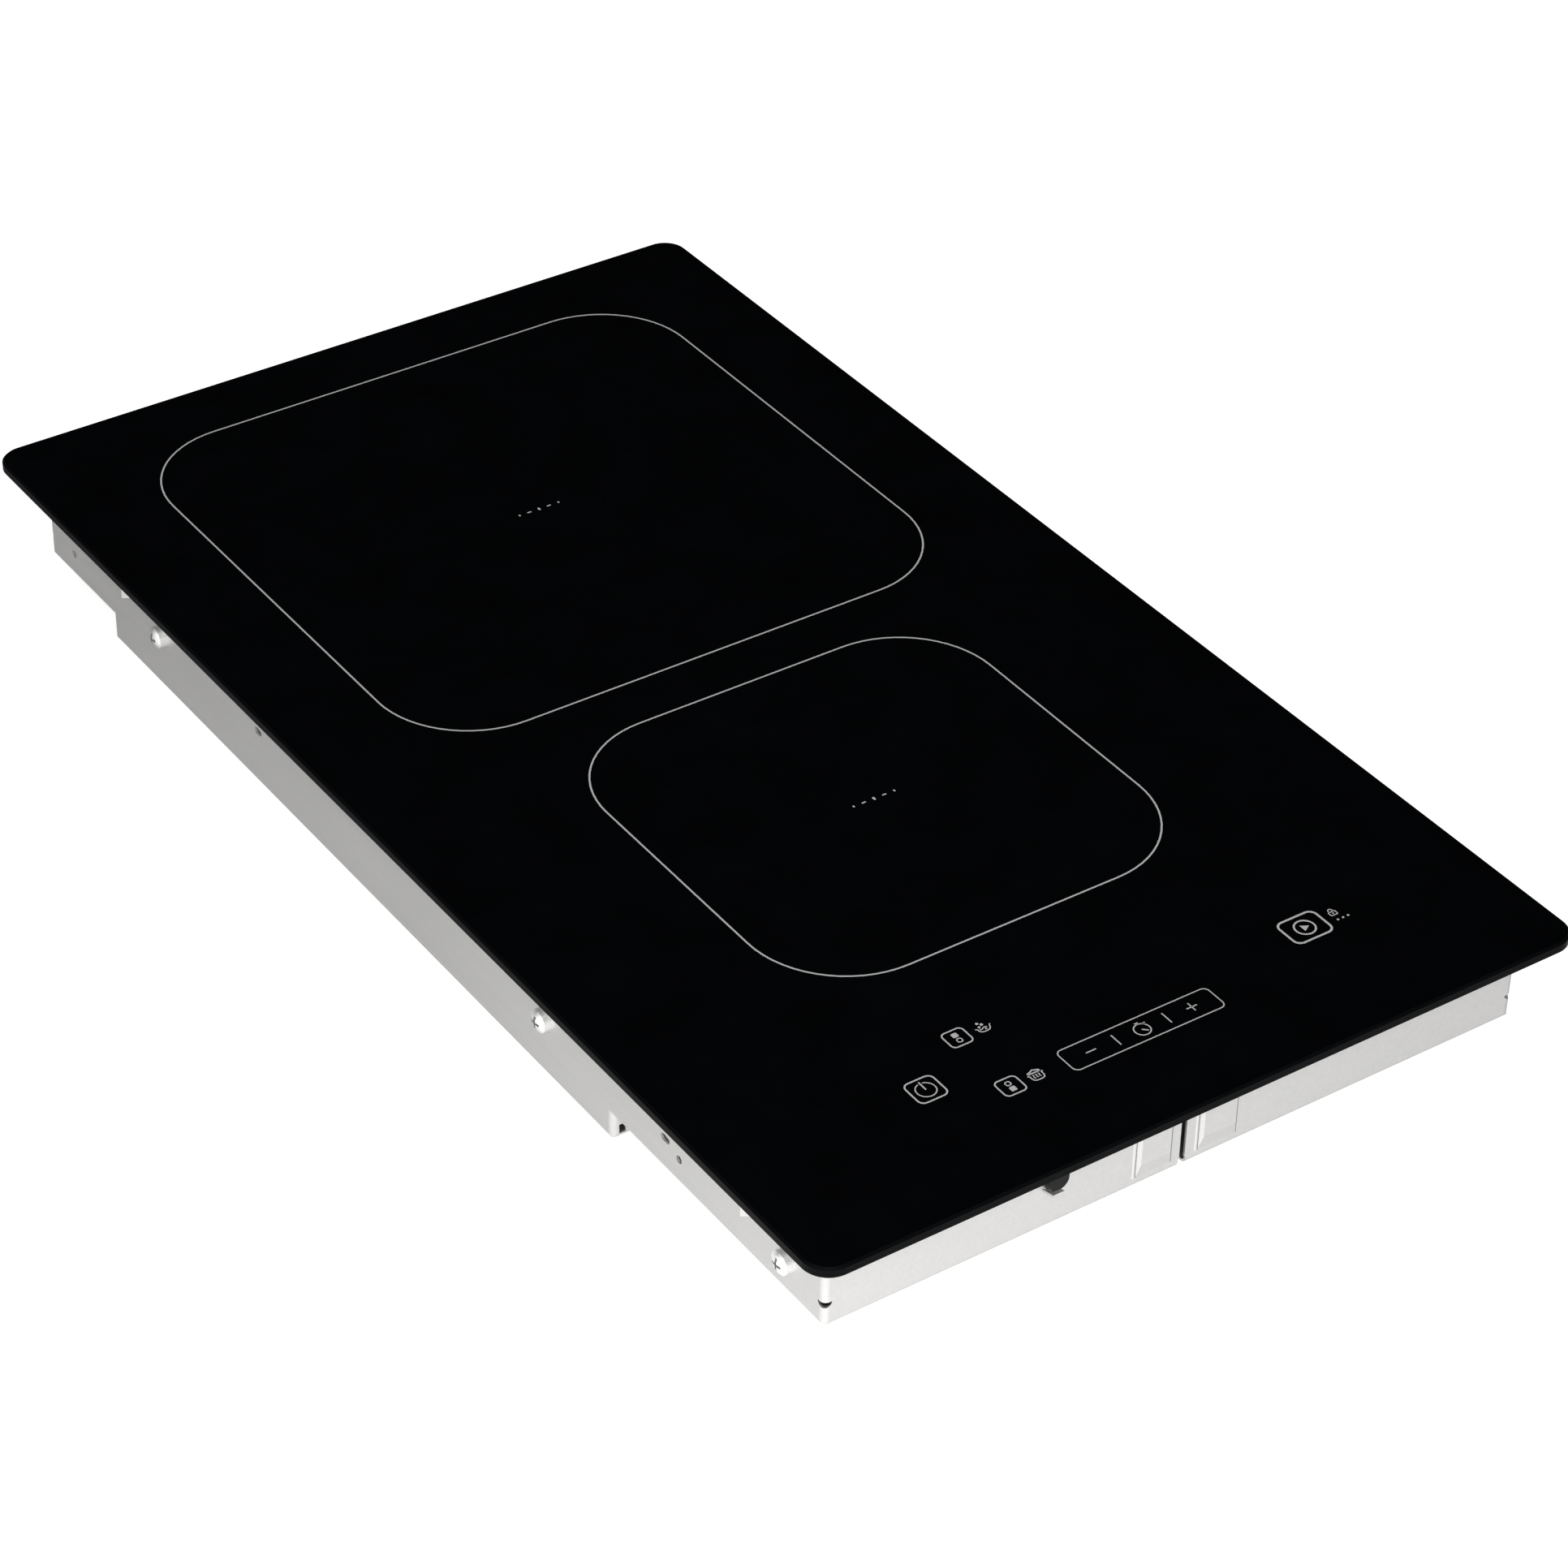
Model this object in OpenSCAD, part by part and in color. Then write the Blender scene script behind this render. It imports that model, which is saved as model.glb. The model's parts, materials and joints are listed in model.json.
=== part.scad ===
// Two-zone built-in induction cooktop, narrow format.
// Origin: centre of the glass footprint, on the plane of the deep pan's underside.
// +X is to the right, +Y to the rear, +Z up. Millimetres.

/* [Glass top] */
// Width of the glass
glass_w = 284; // [280:1:300]
// Depth of the glass, front to rear
glass_d = 510; // [504:1:520]
// Thickness of the glass
glass_t = 4; // [3:0.5:6]
// Corner radius of the glass in plan
glass_r = 9; // [4:1:14]
// Bevel ground on the upper edge
glass_bevel_top = 0.8; // [0.3:0.1:1.0]
// Bevel ground on the lower edge
glass_bevel_low = 0.6; // [0.3:0.1:1.0]

/* [Chassis] */
// Overall height, underside of the deep pan to the top of the glass
overall_h = 46.8; // [46:0.2:50]
// Width of the steel tray
tray_w = 260; // [260:1:264]
// Front face of the tray, measured from the glass centre
tray_front = 240.5; // [238:0.5:242]
// Rear face of the tray, measured from the glass centre
tray_rear = 239.1; // [238:0.1:242]
// Sheet thickness
sheet_t = 0.8; // [0.6:0.1:1.0]
// Outer bend radius
bend_r = 2.2; // [1.0:0.1:3.0]
// Height of the shallow front and rear ends above the deep pan's underside
step_h = 9.8; // [9:0.2:11]
// Front face of the deep pan
deep_front = 128.4; // [126:0.2:130]
// Rear face of the deep pan
deep_rear = 193.2; // [192:0.2:194]
// Gap between the tray's upper rim and the glass
rim_gap = 1.2; // [0.8:0.2:2]

/* [Cooking zones] */
// Centre of the rear zone, behind the glass centre
rear_zone_y = 121.5; // [119:0.5:124]
// Centre of the front zone, in front of the glass centre
front_zone_y = 79.5; // [77:0.5:82]
// Outer radius of the rear winding
rear_coil_r = 90; // [84:1:92]
// Outer radius of the front winding
front_coil_r = 66; // [60:1:68]
// How far a coil carrier can be pressed down against its springs
coil_travel = 2; // [1:0.5:2]

/* [Screws] */
// Height of the side screws above the base
side_screw_z = 23.2; // [22:0.2:24]
// Diameter of a side screw's head
side_head_d = 8; // [7:0.5:9]
// Height of a side screw's head
side_head_h = 4.6; // [4:0.2:5]
// Thread diameter of a side screw
side_thread_d = 4; // [3.5:0.5:4]

/* [Fan] */
// Axis of the fan, to the right of centre
fan_x = 62; // [60:1:64]
// Axis of the fan, behind the glass centre
fan_y = 132; // [130:1:134]
// Radius of the impeller
impeller_r = 36; // [32:1:37]
// Number of blades
blades = 28; // [20:1:32]

/* [Hidden] */

$fn = 48;
eps = 0.02;

// Levels, from the glass down
glass_under = overall_h - glass_t;
bond_t = 1.0;
frame_top = glass_under - bond_t;
rim_z = glass_under - rim_gap;
seal_t = 2.2;
tray_d = tray_front + tray_rear;
tray_mid = (tray_rear - tray_front) / 2;

// Levels, from the pan up
floor_z = sheet_t;
housing_floor_t = 1.6;
board_z = 5.0;
board_t = 1.6;
board_top = board_z + board_t;
plate_z = 25.5;
plate_t = 1.0;
plate_top = plate_z + plate_t;

// Coil carrier levels
base_z = 32.6;
base_t = 1.0;
ferrite_t = 4.0;
former_t = 0.8;
wire_d = 3.2;
ferrite_z = base_z + base_t;
former_z = ferrite_z + ferrite_t;
winding_z = former_z + former_t;
sheet_z = winding_z + wire_d + 0.05;
insulation_t = glass_under - 0.1 - sheet_z;
sleeve_r = 9;
bore_r = 5.6;
running_gap = 0.08;
sensor_r = bore_r - running_gap;
sleeve_floor_z = 29.5;
sleeve_floor_t = 1.2;
sleeve_top_z = 40.4;
sensor_z = 36;
lead_r = 1.6;
lead_z = board_top + 6.0;

// Zone table: centre, winding radius, winding inner radius, number of ferrites
REAR = [rear_zone_y, rear_coil_r, 22, 8];
FRONT = [-front_zone_y, front_coil_r, 18, 6];
function zone_y(z) = z[0];
function coil_r(z) = z[1];
function coil_in(z) = z[2];
function bars(z) = z[3];
function disc_r(z) = coil_r(z) + 3;
function spring_ring(z) = disc_r(z) * 0.6;
function pin_ring(z) = disc_r(z) * 0.74;
spring_angles = [90, 210, 330];
guide_angles = [0.5, 2.5];
guide_pin_r = 2.4;
guide_hole_r = 2.9;
lead_x = -30;
lead_pitch = 8;
function lead_y(z) = zone_y(z) + (zone_y(z) > 0 ? -61.5 : 39.5);

// Printed marks
print_t = 0.05;
rear_mark = 210;
front_mark = 150;
mark_r = 35;
zone_line = 0.6;
power_key = [-69.9, -205.1];
start_key = [72.5, -205.9];
select_x = -48.2;
select_y = [-190.8, -217.4];
slider = [0.25, -217.4];

// Side wall features: positions along Y and heights above the base
side_screw_y = [-222.5, -91.5, 155];
bracket_hole_y = [-165.3, 221];
bracket_hole_z = 19.4;
bracket_hole_r = 1.4;
oval_hole_y = [-157.8, 89.2];
oval_hole_z = 22.3;
oval_hole_size = [4.7, 2.6];
barb_y = [-204.1, 176.8];
barb_z = 26;
barb_len = 4;
barb_h = 9;
barb_angle = 57;

// Front wall features, left to right
slot_x = 0.15;
slot_w = 2.1;
slot_low_z = 12.9;
notch_w = 3.0;
panel_x = [-10.9, 13.3];
panel_w = [13.2, 14.4];
panel_low_z = 13.6;
panel_rise = 1.1;
groove_w = 0.4;
groove_depth = 0.3;
tongue_x = -52.5;
tongue_z = 24.9;
tongue_rise = 1.4;
tongue_w = 4.1;
tongue_out = 5.2;
grommet_x = -50.6;
grommet_z = 32.1;
grommet_r = 4.6;
grommet_out = 5.3;
relief_z = 19.2;
relief_r = 2.1;

// Terminal box and cable inlet, rear left
term_x = -80;
term_w = 64;
term_front = 198;
term_back = 237;
term_wall = 1.6;
term_top = 24.8;
inlet_z = 17.2;
inlet_r = 4.2;
inlet_body_r = 5.6;
lid_axis_y = 196;
lid_axis_z = 7.6;
lid_t = 1.5;
lid_pin_r = 1.2;

// ---------- shared shapes ----------

// Rectangle with round corners, centred
module round_rect(w, d, r) {
    square([w - 2 * r, d], center = true);
    square([w, d - 2 * r], center = true);
    for (x = [-1, 1], y = [-1, 1]) translate([x * (w / 2 - r), y * (d / 2 - r)]) circle(r);
}

// Slot with round ends, centred, long side along the first axis
module slot_2d(length, width) {
    square([length - width, width], center = true);
    for (s = [-1, 1]) translate([s * (length - width) / 2, 0]) circle(width / 2);
}

module round_plate(w, d, h, r) {
    linear_extrude(h) round_rect(w, d, r);
}

// Flat ring following a rounded rectangle
module ring_plate(w, d, h, r, band) {
    linear_extrude(h) difference() {
        round_rect(w, d, r);
        round_rect(w - 2 * band, d - 2 * band, max(r - band, 1));
    }
}

module tube(r_out, r_in, h) {
    linear_extrude(h) difference() {
        circle(r_out);
        circle(r_in);
    }
}

// Extrudes a Y-Z outline along X, centred
module along_x(length) {
    translate([-length / 2, 0, 0]) rotate([90, 0, 90]) linear_extrude(length) children();
}

// Extrudes an X-Z outline along Y, from y to y + length
module along_y(y, length) {
    translate([0, y + length, 0]) rotate([90, 0, 0]) linear_extrude(length) children();
}

// Cross-section of a slab with two bevelled edges, from the axis outwards
module bevel_outline(half, h, low, top) {
    polygon([[0, 0], [half - low, 0], [half, low], [half, h - top], [half - top, h], [0, h]]);
}

module bevel_outline_both(half, h, low, top) {
    bevel_outline(half, h, low, top);
    mirror([1, 0]) bevel_outline(half, h, low, top);
}

// Slab with round corners in plan and a bevel round both rims
module bevelled_slab(w, d, h, r, low, top) {
    along_y(-(d / 2 - r), d - 2 * r) bevel_outline_both(w / 2, h, low, top);
    along_x(w - 2 * r) bevel_outline_both(d / 2, h, low, top);
    for (x = [-1, 1], y = [-1, 1])
        translate([x * (w / 2 - r), y * (d / 2 - r), 0])
            rotate_extrude() bevel_outline(r, h, low, top);
}

// Open box from y0 to y1, rounded on its lower and upright edges
module pan_solid(w, y0, y1, z0, z1, r) {
    depth = y1 - y0;
    mid = (y0 + y1) / 2;
    tall = z1 - z0 + 2 * r;
    intersection() {
        translate([0, mid, z0]) round_plate(w, depth, z1 - z0, r);
        along_x(w + 2) translate([mid, z0 + tall / 2]) round_rect(depth, tall, r);
        along_y(y0 - 1, depth + 2) translate([0, z0 + tall / 2]) round_rect(w, tall, r);
    }
}

// Machine screw with a domed, cross-recessed head; the head's underside is at z = 0 and it points up
module cross_screw(thread_d, length, head_d, head_h) {
    dome_h = head_h * 0.3;
    rim_h = head_h - dome_h;
    dome_r = (head_d * head_d / 4 + dome_h * dome_h) / (2 * dome_h);
    recess_w = head_d * 0.12;
    recess_l = head_d * 0.56;
    recess_d = head_h * 0.5;
    difference() {
        union() {
            cylinder(d = head_d, h = rim_h);
            intersection() {
                translate([0, 0, head_h - dome_r]) sphere(dome_r, $fn = 96);
                translate([0, 0, rim_h - eps]) cylinder(d = head_d, h = dome_h + 1);
            }
            translate([0, 0, -length]) cylinder(d = thread_d, h = length + eps);
        }
        for (a = [0, 90]) rotate(a)
            translate([-recess_l / 2, -recess_w / 2, head_h - recess_d]) cube([recess_l, recess_w, head_h]);
    }
}

// Points of one ring of a helical wire at a fraction of its length
function helix_point(r, z0, z1, turns, t) =
    [r * cos(360 * turns * t), r * sin(360 * turns * t), z0 + (z1 - z0) * t];

// Helical compression spring; the wire's flat-ground ends stay between z0 and z1
module helical_spring(r, wire_r, z0, z1, turns) {
    sides = 6;
    steps = ceil(turns * 16);
    rings = [for (i = [0:steps]) let (t = i / steps, a = 360 * turns * t,
                 c = helix_point(r, z0 + wire_r, z1 - wire_r, turns, t))
             for (k = [0:sides - 1]) let (b = 360 * k / sides)
                 [c[0] + wire_r * cos(b) * cos(a), c[1] + wire_r * cos(b) * sin(a), c[2] + wire_r * sin(b)]];
    skin = [for (i = [0:steps - 1], k = [0:sides - 1]) let (n = (k + 1) % sides)
            [i * sides + k, (i + 1) * sides + k, (i + 1) * sides + n, i * sides + n]];
    first = [[for (k = [0:sides - 1]) k]];
    last = [[for (k = [sides - 1:-1:0]) steps * sides + k]];
    polyhedron(rings, concat(skin, first, last), convexity = 10);
}

// ---------- glass ----------

module glass_top() {
    color([0.01, 0.01, 0.02])
        translate([0, 0, glass_under])
            bevelled_slab(glass_w, glass_d, glass_t, glass_r, glass_bevel_low, glass_bevel_top);
}

// Frame of a printed key or zone: a line of even width round a rectangle
module printed_frame(spot, size, r, line) {
    translate([spot[0], spot[1], overall_h]) linear_extrude(print_t) difference() {
        round_rect(size[0] + line, size[1] + line, r + line / 2);
        round_rect(size[0] - line, size[1] - line, r - line / 2);
    }
}

// Enamel outlines of the two zones and of the touch keys
module printed_marks() {
    color([0.62, 0.63, 0.64]) {
        printed_frame([0, rear_zone_y], [rear_mark, rear_mark], mark_r, zone_line);
        printed_frame([0, -front_zone_y], [front_mark, front_mark], mark_r, zone_line);
        printed_frame(power_key, [10.2, 10.1], 2.1, 0.55);
        for (y = select_y) printed_frame([select_x, y], [7.6, 7.4], 1.6, 0.5);
        printed_frame(slider, [56.6, 10.4], 2.0, 0.4);
        printed_frame(start_key, [14.5, 11.5], 2.5, 0.75);
    }
}

// Foam strip under the overhang; it beds on the worktop
module worktop_seal() {
    inset = 3;
    band = 6;
    color([0.16, 0.16, 0.17])
        translate([0, 0, glass_under - seal_t])
            ring_plate(glass_w - 2 * inset, glass_d - 2 * inset, seal_t, glass_r - inset, band);
}

frame_clear = 0.4;
frame_w = tray_w - 2 * sheet_t - 2 * frame_clear;
frame_d = tray_d - 2 * sheet_t - 2 * frame_clear;
frame_band = 13;
bond_band = 7;
frame_flange_h = 24;

// Silicone bead between the glass and the frame
module silicone_bond() {
    color([0.09, 0.09, 0.1])
        translate([0, tray_mid, frame_top])
            ring_plate(frame_w - 4, frame_d - 4, bond_t, 4, bond_band);
}

// Steel frame bonded under the glass, with side flanges that take the side screws
module glass_frame() {
    color([0.72, 0.73, 0.74]) {
        translate([0, tray_mid, frame_top - sheet_t])
            ring_plate(frame_w, frame_d, sheet_t, 3, frame_band);
        difference() {
            for (s = [-1, 1])
                translate([s * (frame_w / 2 - sheet_t / 2), tray_mid,
                           frame_top - sheet_t / 2 - frame_flange_h / 2])
                    cube([sheet_t, frame_d - 16, frame_flange_h], center = true);
            for (y = side_screw_y)
                translate([-tray_w / 2, y, side_screw_z])
                    rotate([0, 90, 0]) cylinder(d = side_thread_d + 0.1, h = tray_w);
        }
    }
}

// ---------- chassis ----------

module tray_shell() {
    inner_r = max(bend_r - sheet_t, 0.3);
    difference() {
        union() {
            pan_solid(tray_w, -tray_front, tray_rear, step_h, rim_z, bend_r);
            pan_solid(tray_w, -deep_front, deep_rear, 0, rim_z, bend_r);
        }
        pan_solid(tray_w - 2 * sheet_t, -tray_front + sheet_t, tray_rear - sheet_t,
                  step_h + sheet_t, rim_z + 5, inner_r);
        pan_solid(tray_w - 2 * sheet_t, -deep_front + sheet_t, deep_rear - sheet_t,
                  sheet_t, rim_z + 5, inner_r);
    }
}

// Holes punched through both side walls
module side_wall_cuts() {
    for (s = [-1, 1]) {
        wall_x = s * (tray_w / 2 - sheet_t / 2);
        for (y = side_screw_y)
            translate([wall_x, y, side_screw_z]) rotate([0, 90, 0])
                cylinder(d = side_thread_d + 0.4, h = 4, center = true);
        for (y = bracket_hole_y)
            translate([wall_x, y, bracket_hole_z]) rotate([0, 90, 0])
                cylinder(r = bracket_hole_r, h = 4, center = true);
        for (y = oval_hole_y)
            translate([wall_x, y, oval_hole_z]) rotate([90, 0, 90])
                linear_extrude(4, center = true) slot_2d(oval_hole_size[0], oval_hole_size[1]);
        for (y = barb_y)
            translate([wall_x, y + barb_len / 2 + 0.8, barb_z + barb_h / 2])
                cube([4, barb_len + 1.6, barb_h + 1], center = true);
    }
}

// Bend reliefs across the upright corners: half-moons in front, short slots behind
module corner_cuts() {
    for (s = [-1, 1]) {
        translate([s * tray_w / 2, -tray_front, relief_z]) rotate([90, 0, s * 45])
            linear_extrude(8, center = true) intersection() {
                circle(relief_r);
                translate([-relief_r, -2 * relief_r]) square(2 * relief_r);
            }
        translate([s * tray_w / 2, tray_rear, relief_z - 1]) cube([1.6, 3.6, relief_r], center = true);
    }
}

// Centre seam and the grommet hole in the front wall
module front_wall_cuts() {
    wall_y = -tray_front - 1;
    translate([slot_x - slot_w / 2, wall_y, slot_low_z]) cube([slot_w, 3, 40]);
    translate([slot_x - notch_w / 2, wall_y, step_h - 1]) cube([notch_w, 4.2, slot_low_z - step_h + 1 + eps]);
    translate([grommet_x, wall_y, grommet_z]) rotate([-90, 0, 0]) cylinder(r = grommet_r, h = 4);
}

// Shallow embossed panels either side of the seam; y is the face they rise from.
// Their flanks are sloped, and at the foot they run out slowly.
module embossed_panels(y) {
    tall = rim_z - panel_low_z;
    run_out = 5;
    root = 0.2;
    for (i = [0, 1]) {
        half = panel_w[i] / 2;
        translate([panel_x[i], y, panel_low_z]) intersection() {
            linear_extrude(tall)
                polygon([[-half, root], [-half, 0], [-half + panel_rise, -panel_rise],
                         [half - panel_rise, -panel_rise], [half, 0], [half, root]]);
            along_x(panel_w[i] + 1)
                polygon([[root, 0], [0, 0], [-panel_rise, run_out], [-panel_rise, tall], [root, tall]]);
        }
    }
}

// Low bead down the left edge of each panel
module panel_beads() {
    bead = [1.2, 0.4];
    for (i = [0, 1])
        translate([panel_x[i] - panel_w[i] / 2 - groove_w / 2 - bead[0], -tray_front, panel_low_z])
            linear_extrude(rim_z - panel_low_z)
                polygon([[0, sheet_t / 4], [0, 0], [bead[0] / 3, -bead[1]], [bead[0] * 2 / 3, -bead[1]],
                         [bead[0], 0], [bead[0], sheet_t / 4]]);
}

// Fine grooves at the feet of the panels' upright flanks
module panel_grooves() {
    for (i = [0, 1], s = [-1, 1])
        translate([panel_x[i] + s * panel_w[i] / 2 - groove_w / 2, -tray_front - eps, panel_low_z])
            cube([groove_w, groove_depth + eps, rim_z]);
}

// Small lanced barbs that stand out of the side walls and steady the tray in its cut-out
module barbs() {
    root = 0.6;
    for (s = [-1, 1], y = barb_y)
        translate([s * (tray_w / 2 - sheet_t / 2), y, barb_z])
            mirror([s < 0 ? 0 : 1, 0, 0])
                rotate(90 + barb_angle) translate([-root, -sheet_t / 2, 0])
                    cube([barb_len + root, sheet_t, barb_h]);
}

// Tongue under the front grommet, sloping up outwards
module grommet_tongue() {
    translate([tongue_x + tongue_w / 2, -tray_front, tongue_z]) along_x(tongue_w)
        polygon([[sheet_t / 2, 0], [0, 0], [-tongue_out, tongue_rise],
                 [-tongue_out, tongue_rise + sheet_t], [0, sheet_t], [sheet_t / 2, sheet_t]]);
}

// Drawn collar round the grommet hole
module grommet_collar() {
    collar = [0.7, 1.8];
    translate([grommet_x, -tray_front + sheet_t / 2, grommet_z]) rotate([90, 0, 0]) difference() {
        cylinder(r = grommet_r + collar[0], h = sheet_t / 2 + collar[1]);
        translate([0, 0, -eps]) cylinder(r = grommet_r, h = sheet_t + collar[1]);
    }
}

vent_slot = [3, 26];
// Air inlet slots under the fan and outlet slots under the shallow front end
module vent_cuts() {
    inlet_rows = 9;
    inlet_pitch = 7;
    for (i = [0:inlet_rows - 1]) {
        x = fan_x + (i - (inlet_rows - 1) / 2) * inlet_pitch;
        half = sqrt(pow(31, 2) - pow(x - fan_x, 2));
        translate([x, fan_y, -1]) linear_extrude(3) rotate(90) slot_2d(2 * half, vent_slot[0]);
    }
    outlet_rows = 12;
    outlet_pitch = 8;
    for (i = [0:outlet_rows - 1])
        translate([fan_x + (i - (outlet_rows - 1) / 2) * outlet_pitch - 18, -tray_front + 30, step_h - 1])
            linear_extrude(3) rotate(90) slot_2d(vent_slot[1], vent_slot[0]);
}

// Slot near the lower left of the deep pan's front face
module step_face_cut() {
    translate([-tray_w / 2 + 2.6, -deep_front - 1, 2.0]) cube([2.4, 3, 3.4]);
}

module chassis_tray() {
    color([0.78, 0.79, 0.8]) {
        difference() {
            union() {
                tray_shell();
                embossed_panels(-tray_front);
                panel_beads();
            }
            embossed_panels(-tray_front + sheet_t);
            panel_grooves();
            side_wall_cuts();
            corner_cuts();
            front_wall_cuts();
            vent_cuts();
            step_face_cut();
            // Access to the terminal box from below, with room for the lid's hinge
            translate([term_x - term_w / 2 + 2, term_front + 2, step_h - 1])
                cube([term_w - 4, term_back - term_front - 4, 4]);
            for (s = [-1, 1])
                translate([term_x + s * (term_w / 2 + 1.4) - 2.2, lid_axis_y - 2.1, step_h - 1])
                    cube([4.4, 5, 4]);
            translate([term_x, tray_rear - 3, inlet_z]) rotate([-90, 0, 0]) cylinder(r = inlet_body_r, h = 5);
        }
        barbs();
        grommet_tongue();
        grommet_collar();
    }
}

// Six machine screws, three through each side wall into the frame's flanges
module side_screws() {
    color([0.86, 0.86, 0.87])
        for (s = [-1, 1], y = side_screw_y)
            translate([s * tray_w / 2, y, side_screw_z]) rotate([0, s * 90, 0])
                cross_screw(side_thread_d, 7, side_head_d, side_head_h);
}

// Black rubber grommet in the front wall
module front_grommet() {
    neck = 3;
    color([0.05, 0.05, 0.055])
        translate([grommet_x, -tray_front, grommet_z]) rotate([90, 0, 0]) {
            cylinder(r = grommet_r - 0.1, h = grommet_out - 1);
            translate([0, 0, grommet_out - 1 - eps])
                cylinder(r1 = grommet_r - 0.1, r2 = grommet_r - 1, h = 1);
            translate([0, 0, -neck]) cylinder(r = grommet_r - 0.1, h = neck + eps);
        }
}

// ---------- electronics ----------

housing_w = 228;
housing_front = -124;
housing_rear = 188;
housing_wall = 1.4;
housing_h = 12;
boss_out = 3;
board_x0 = -110;
board_x1 = 34;
board_y0 = -112;
board_y1 = 94;
post_x = [board_x0 + 6, board_x1 - 6];
post_y = [board_y0 + 6, -7, board_y1 - 6];

// Plastic tray that carries the board, the heat sink and the fan
module electronics_housing() {
    depth = housing_rear - housing_front;
    mid = (housing_rear + housing_front) / 2;
    color([0.13, 0.13, 0.14]) {
        difference() {
            translate([0, mid, floor_z + 0.1]) round_plate(housing_w, depth, housing_h, 3);
            translate([0, mid, floor_z + 0.1 + housing_floor_t])
                round_plate(housing_w - 2 * housing_wall, depth - 2 * housing_wall, housing_h, 2);
            translate([fan_x, fan_y, -1]) cylinder(r = 33, h = 6);
            translate([fan_x - 24, housing_front - 1, floor_z + 3]) cube([60, 4, housing_h]);
        }
        for (x = post_x, y = post_y)
            translate([x, y, floor_z + housing_floor_t]) tube(3.5, 1.2, board_z - floor_z - housing_floor_t);
        for (s = [-1, 1], y = plate_screw_y) difference() {
            translate([s * (housing_w / 2 + boss_out / 2 - 0.5), y, plate_screw_z])
                cube([boss_out + 1, 8, 7.6], center = true);
            translate([s * (housing_w / 2 + boss_out + 1), y, plate_screw_z])
                rotate([0, -s * 90, 0]) cylinder(d = plate_screw_d, h = boss_out + 1);
        }
    }
}

module power_board() {
    color([0.1, 0.33, 0.2])
        difference() {
            translate([board_x0, board_y0, board_z])
                cube([board_x1 - board_x0, board_y1 - board_y0, board_t]);
            for (x = post_x, y = post_y) translate([x, y, 0]) cylinder(r = 1.7, h = 20);
        }
}

sink_x = 35;
sink_w = 62;
sink_y0 = -112;
sink_len = 178;
sink_wall = 3.5;
sink_h = 19;
fins = 12;
// Extruded heat sink; the fan blows along its fins towards the front
module heat_sink() {
    base_level = floor_z + housing_floor_t + 0.2;
    pitch = (sink_w - sink_wall - 1.6) / fins;
    color([0.75, 0.76, 0.78])
        translate([sink_x, sink_y0, base_level]) {
            cube([sink_w, sink_len, sink_wall]);
            cube([sink_wall, sink_len, sink_h]);
            for (i = [1:fins]) translate([sink_wall - 1.6 + i * pitch, 0, sink_wall - eps])
                cube([1.6, sink_len, sink_h - sink_wall - 2]);
        }
}

device_y = [-92, -62, -32, -2];
pad_gap = 0.3;
// A flat power package standing on three legs against the heat sink
module power_package(w, h, t) {
    translate([-t, -w / 2, board_top + 3]) cube([t, w, h]);
    for (k = [-1, 0, 1]) translate([-t / 2 - 0.4, k * w / 3 - 0.6, board_top]) cube([0.8, 1.2, 3.2]);
}

module power_transistors() {
    color([0.08, 0.08, 0.09])
        for (y = device_y) translate([sink_x - pad_gap, y, 0]) power_package(15.5, 14.5, 4.8);
}

module bridge_rectifier() {
    color([0.12, 0.12, 0.13]) translate([sink_x - pad_gap, 42, 0]) power_package(26, 14, 5.4);
}

// A boxed film capacitor with a bevelled top
module film_capacitor(size) {
    along_y(-size[1] / 2, size[1])
        translate([0, board_top]) bevel_outline_both(size[0] / 2, size[2], 0, 1.2);
}

module resonant_capacitors() {
    color([0.75, 0.2, 0.14])
        for (y = device_y) translate([-8, y, 0]) film_capacitor([26, 14, 16]);
}

module bus_capacitors() {
    color([0.18, 0.28, 0.55])
        for (y = [-77, -20]) translate([-82, y, 0]) film_capacitor([32, 20, 17]);
}

module electrolytic_capacitors() {
    color([0.1, 0.1, 0.12])
        for (p = [[-42, 20], [-42, 36], [-25, 44]]) translate([p[0], p[1], board_top]) {
            cylinder(d = 12, h = 16);
            translate([0, 0, 1.4]) tube(6.15, 5.5, 13.6);
        }
}

choke = [-86, 70];
// Toroidal mains filter choke: ring core with its copper turns in two halves
module filter_choke() {
    turns = 7;
    turn_angle = 20;
    core_r = 11;
    core = 8;
    wire = 1.3;
    centre_z = board_top + core / 2 + wire + 2;
    color([0.6, 0.35, 0.16]) translate([choke[0], choke[1], centre_z]) {
        rotate_extrude() translate([core_r, 0]) square([core, core], center = true);
        for (s = [0, 180], i = [0:turns - 1])
            rotate(s + (i - (turns - 1) / 2) * turn_angle) translate([core_r, 0, 0])
                cube([core + 2 * wire, wire, core + 2 * wire], center = true);
    }
    color([0.15, 0.15, 0.16]) translate([choke[0], choke[1], board_top]) cylinder(r = core_r - 1, h = 4);
}

module relays() {
    color([0.12, 0.25, 0.5])
        for (y = [10, 34]) translate([-78, y, 0]) film_capacitor([24, 14, 15]);
}

// Cartridge fuse in two clips
module mains_fuse() {
    fuse_z = board_top + 5;
    color([0.85, 0.85, 0.82]) translate([-52, 60, fuse_z]) rotate([-90, 0, 0]) cylinder(d = 5.2, h = 20);
    color([0.75, 0.7, 0.5]) for (y = [60, 75.6]) translate([-52, y, 0]) {
        translate([0, 2.2, fuse_z]) rotate([90, 0, 0]) cylinder(d = 6.6, h = 4.4, center = true);
        translate([-3.3, 0, board_top]) cube([6.6, 4.4, fuse_z - board_top]);
    }
}

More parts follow.
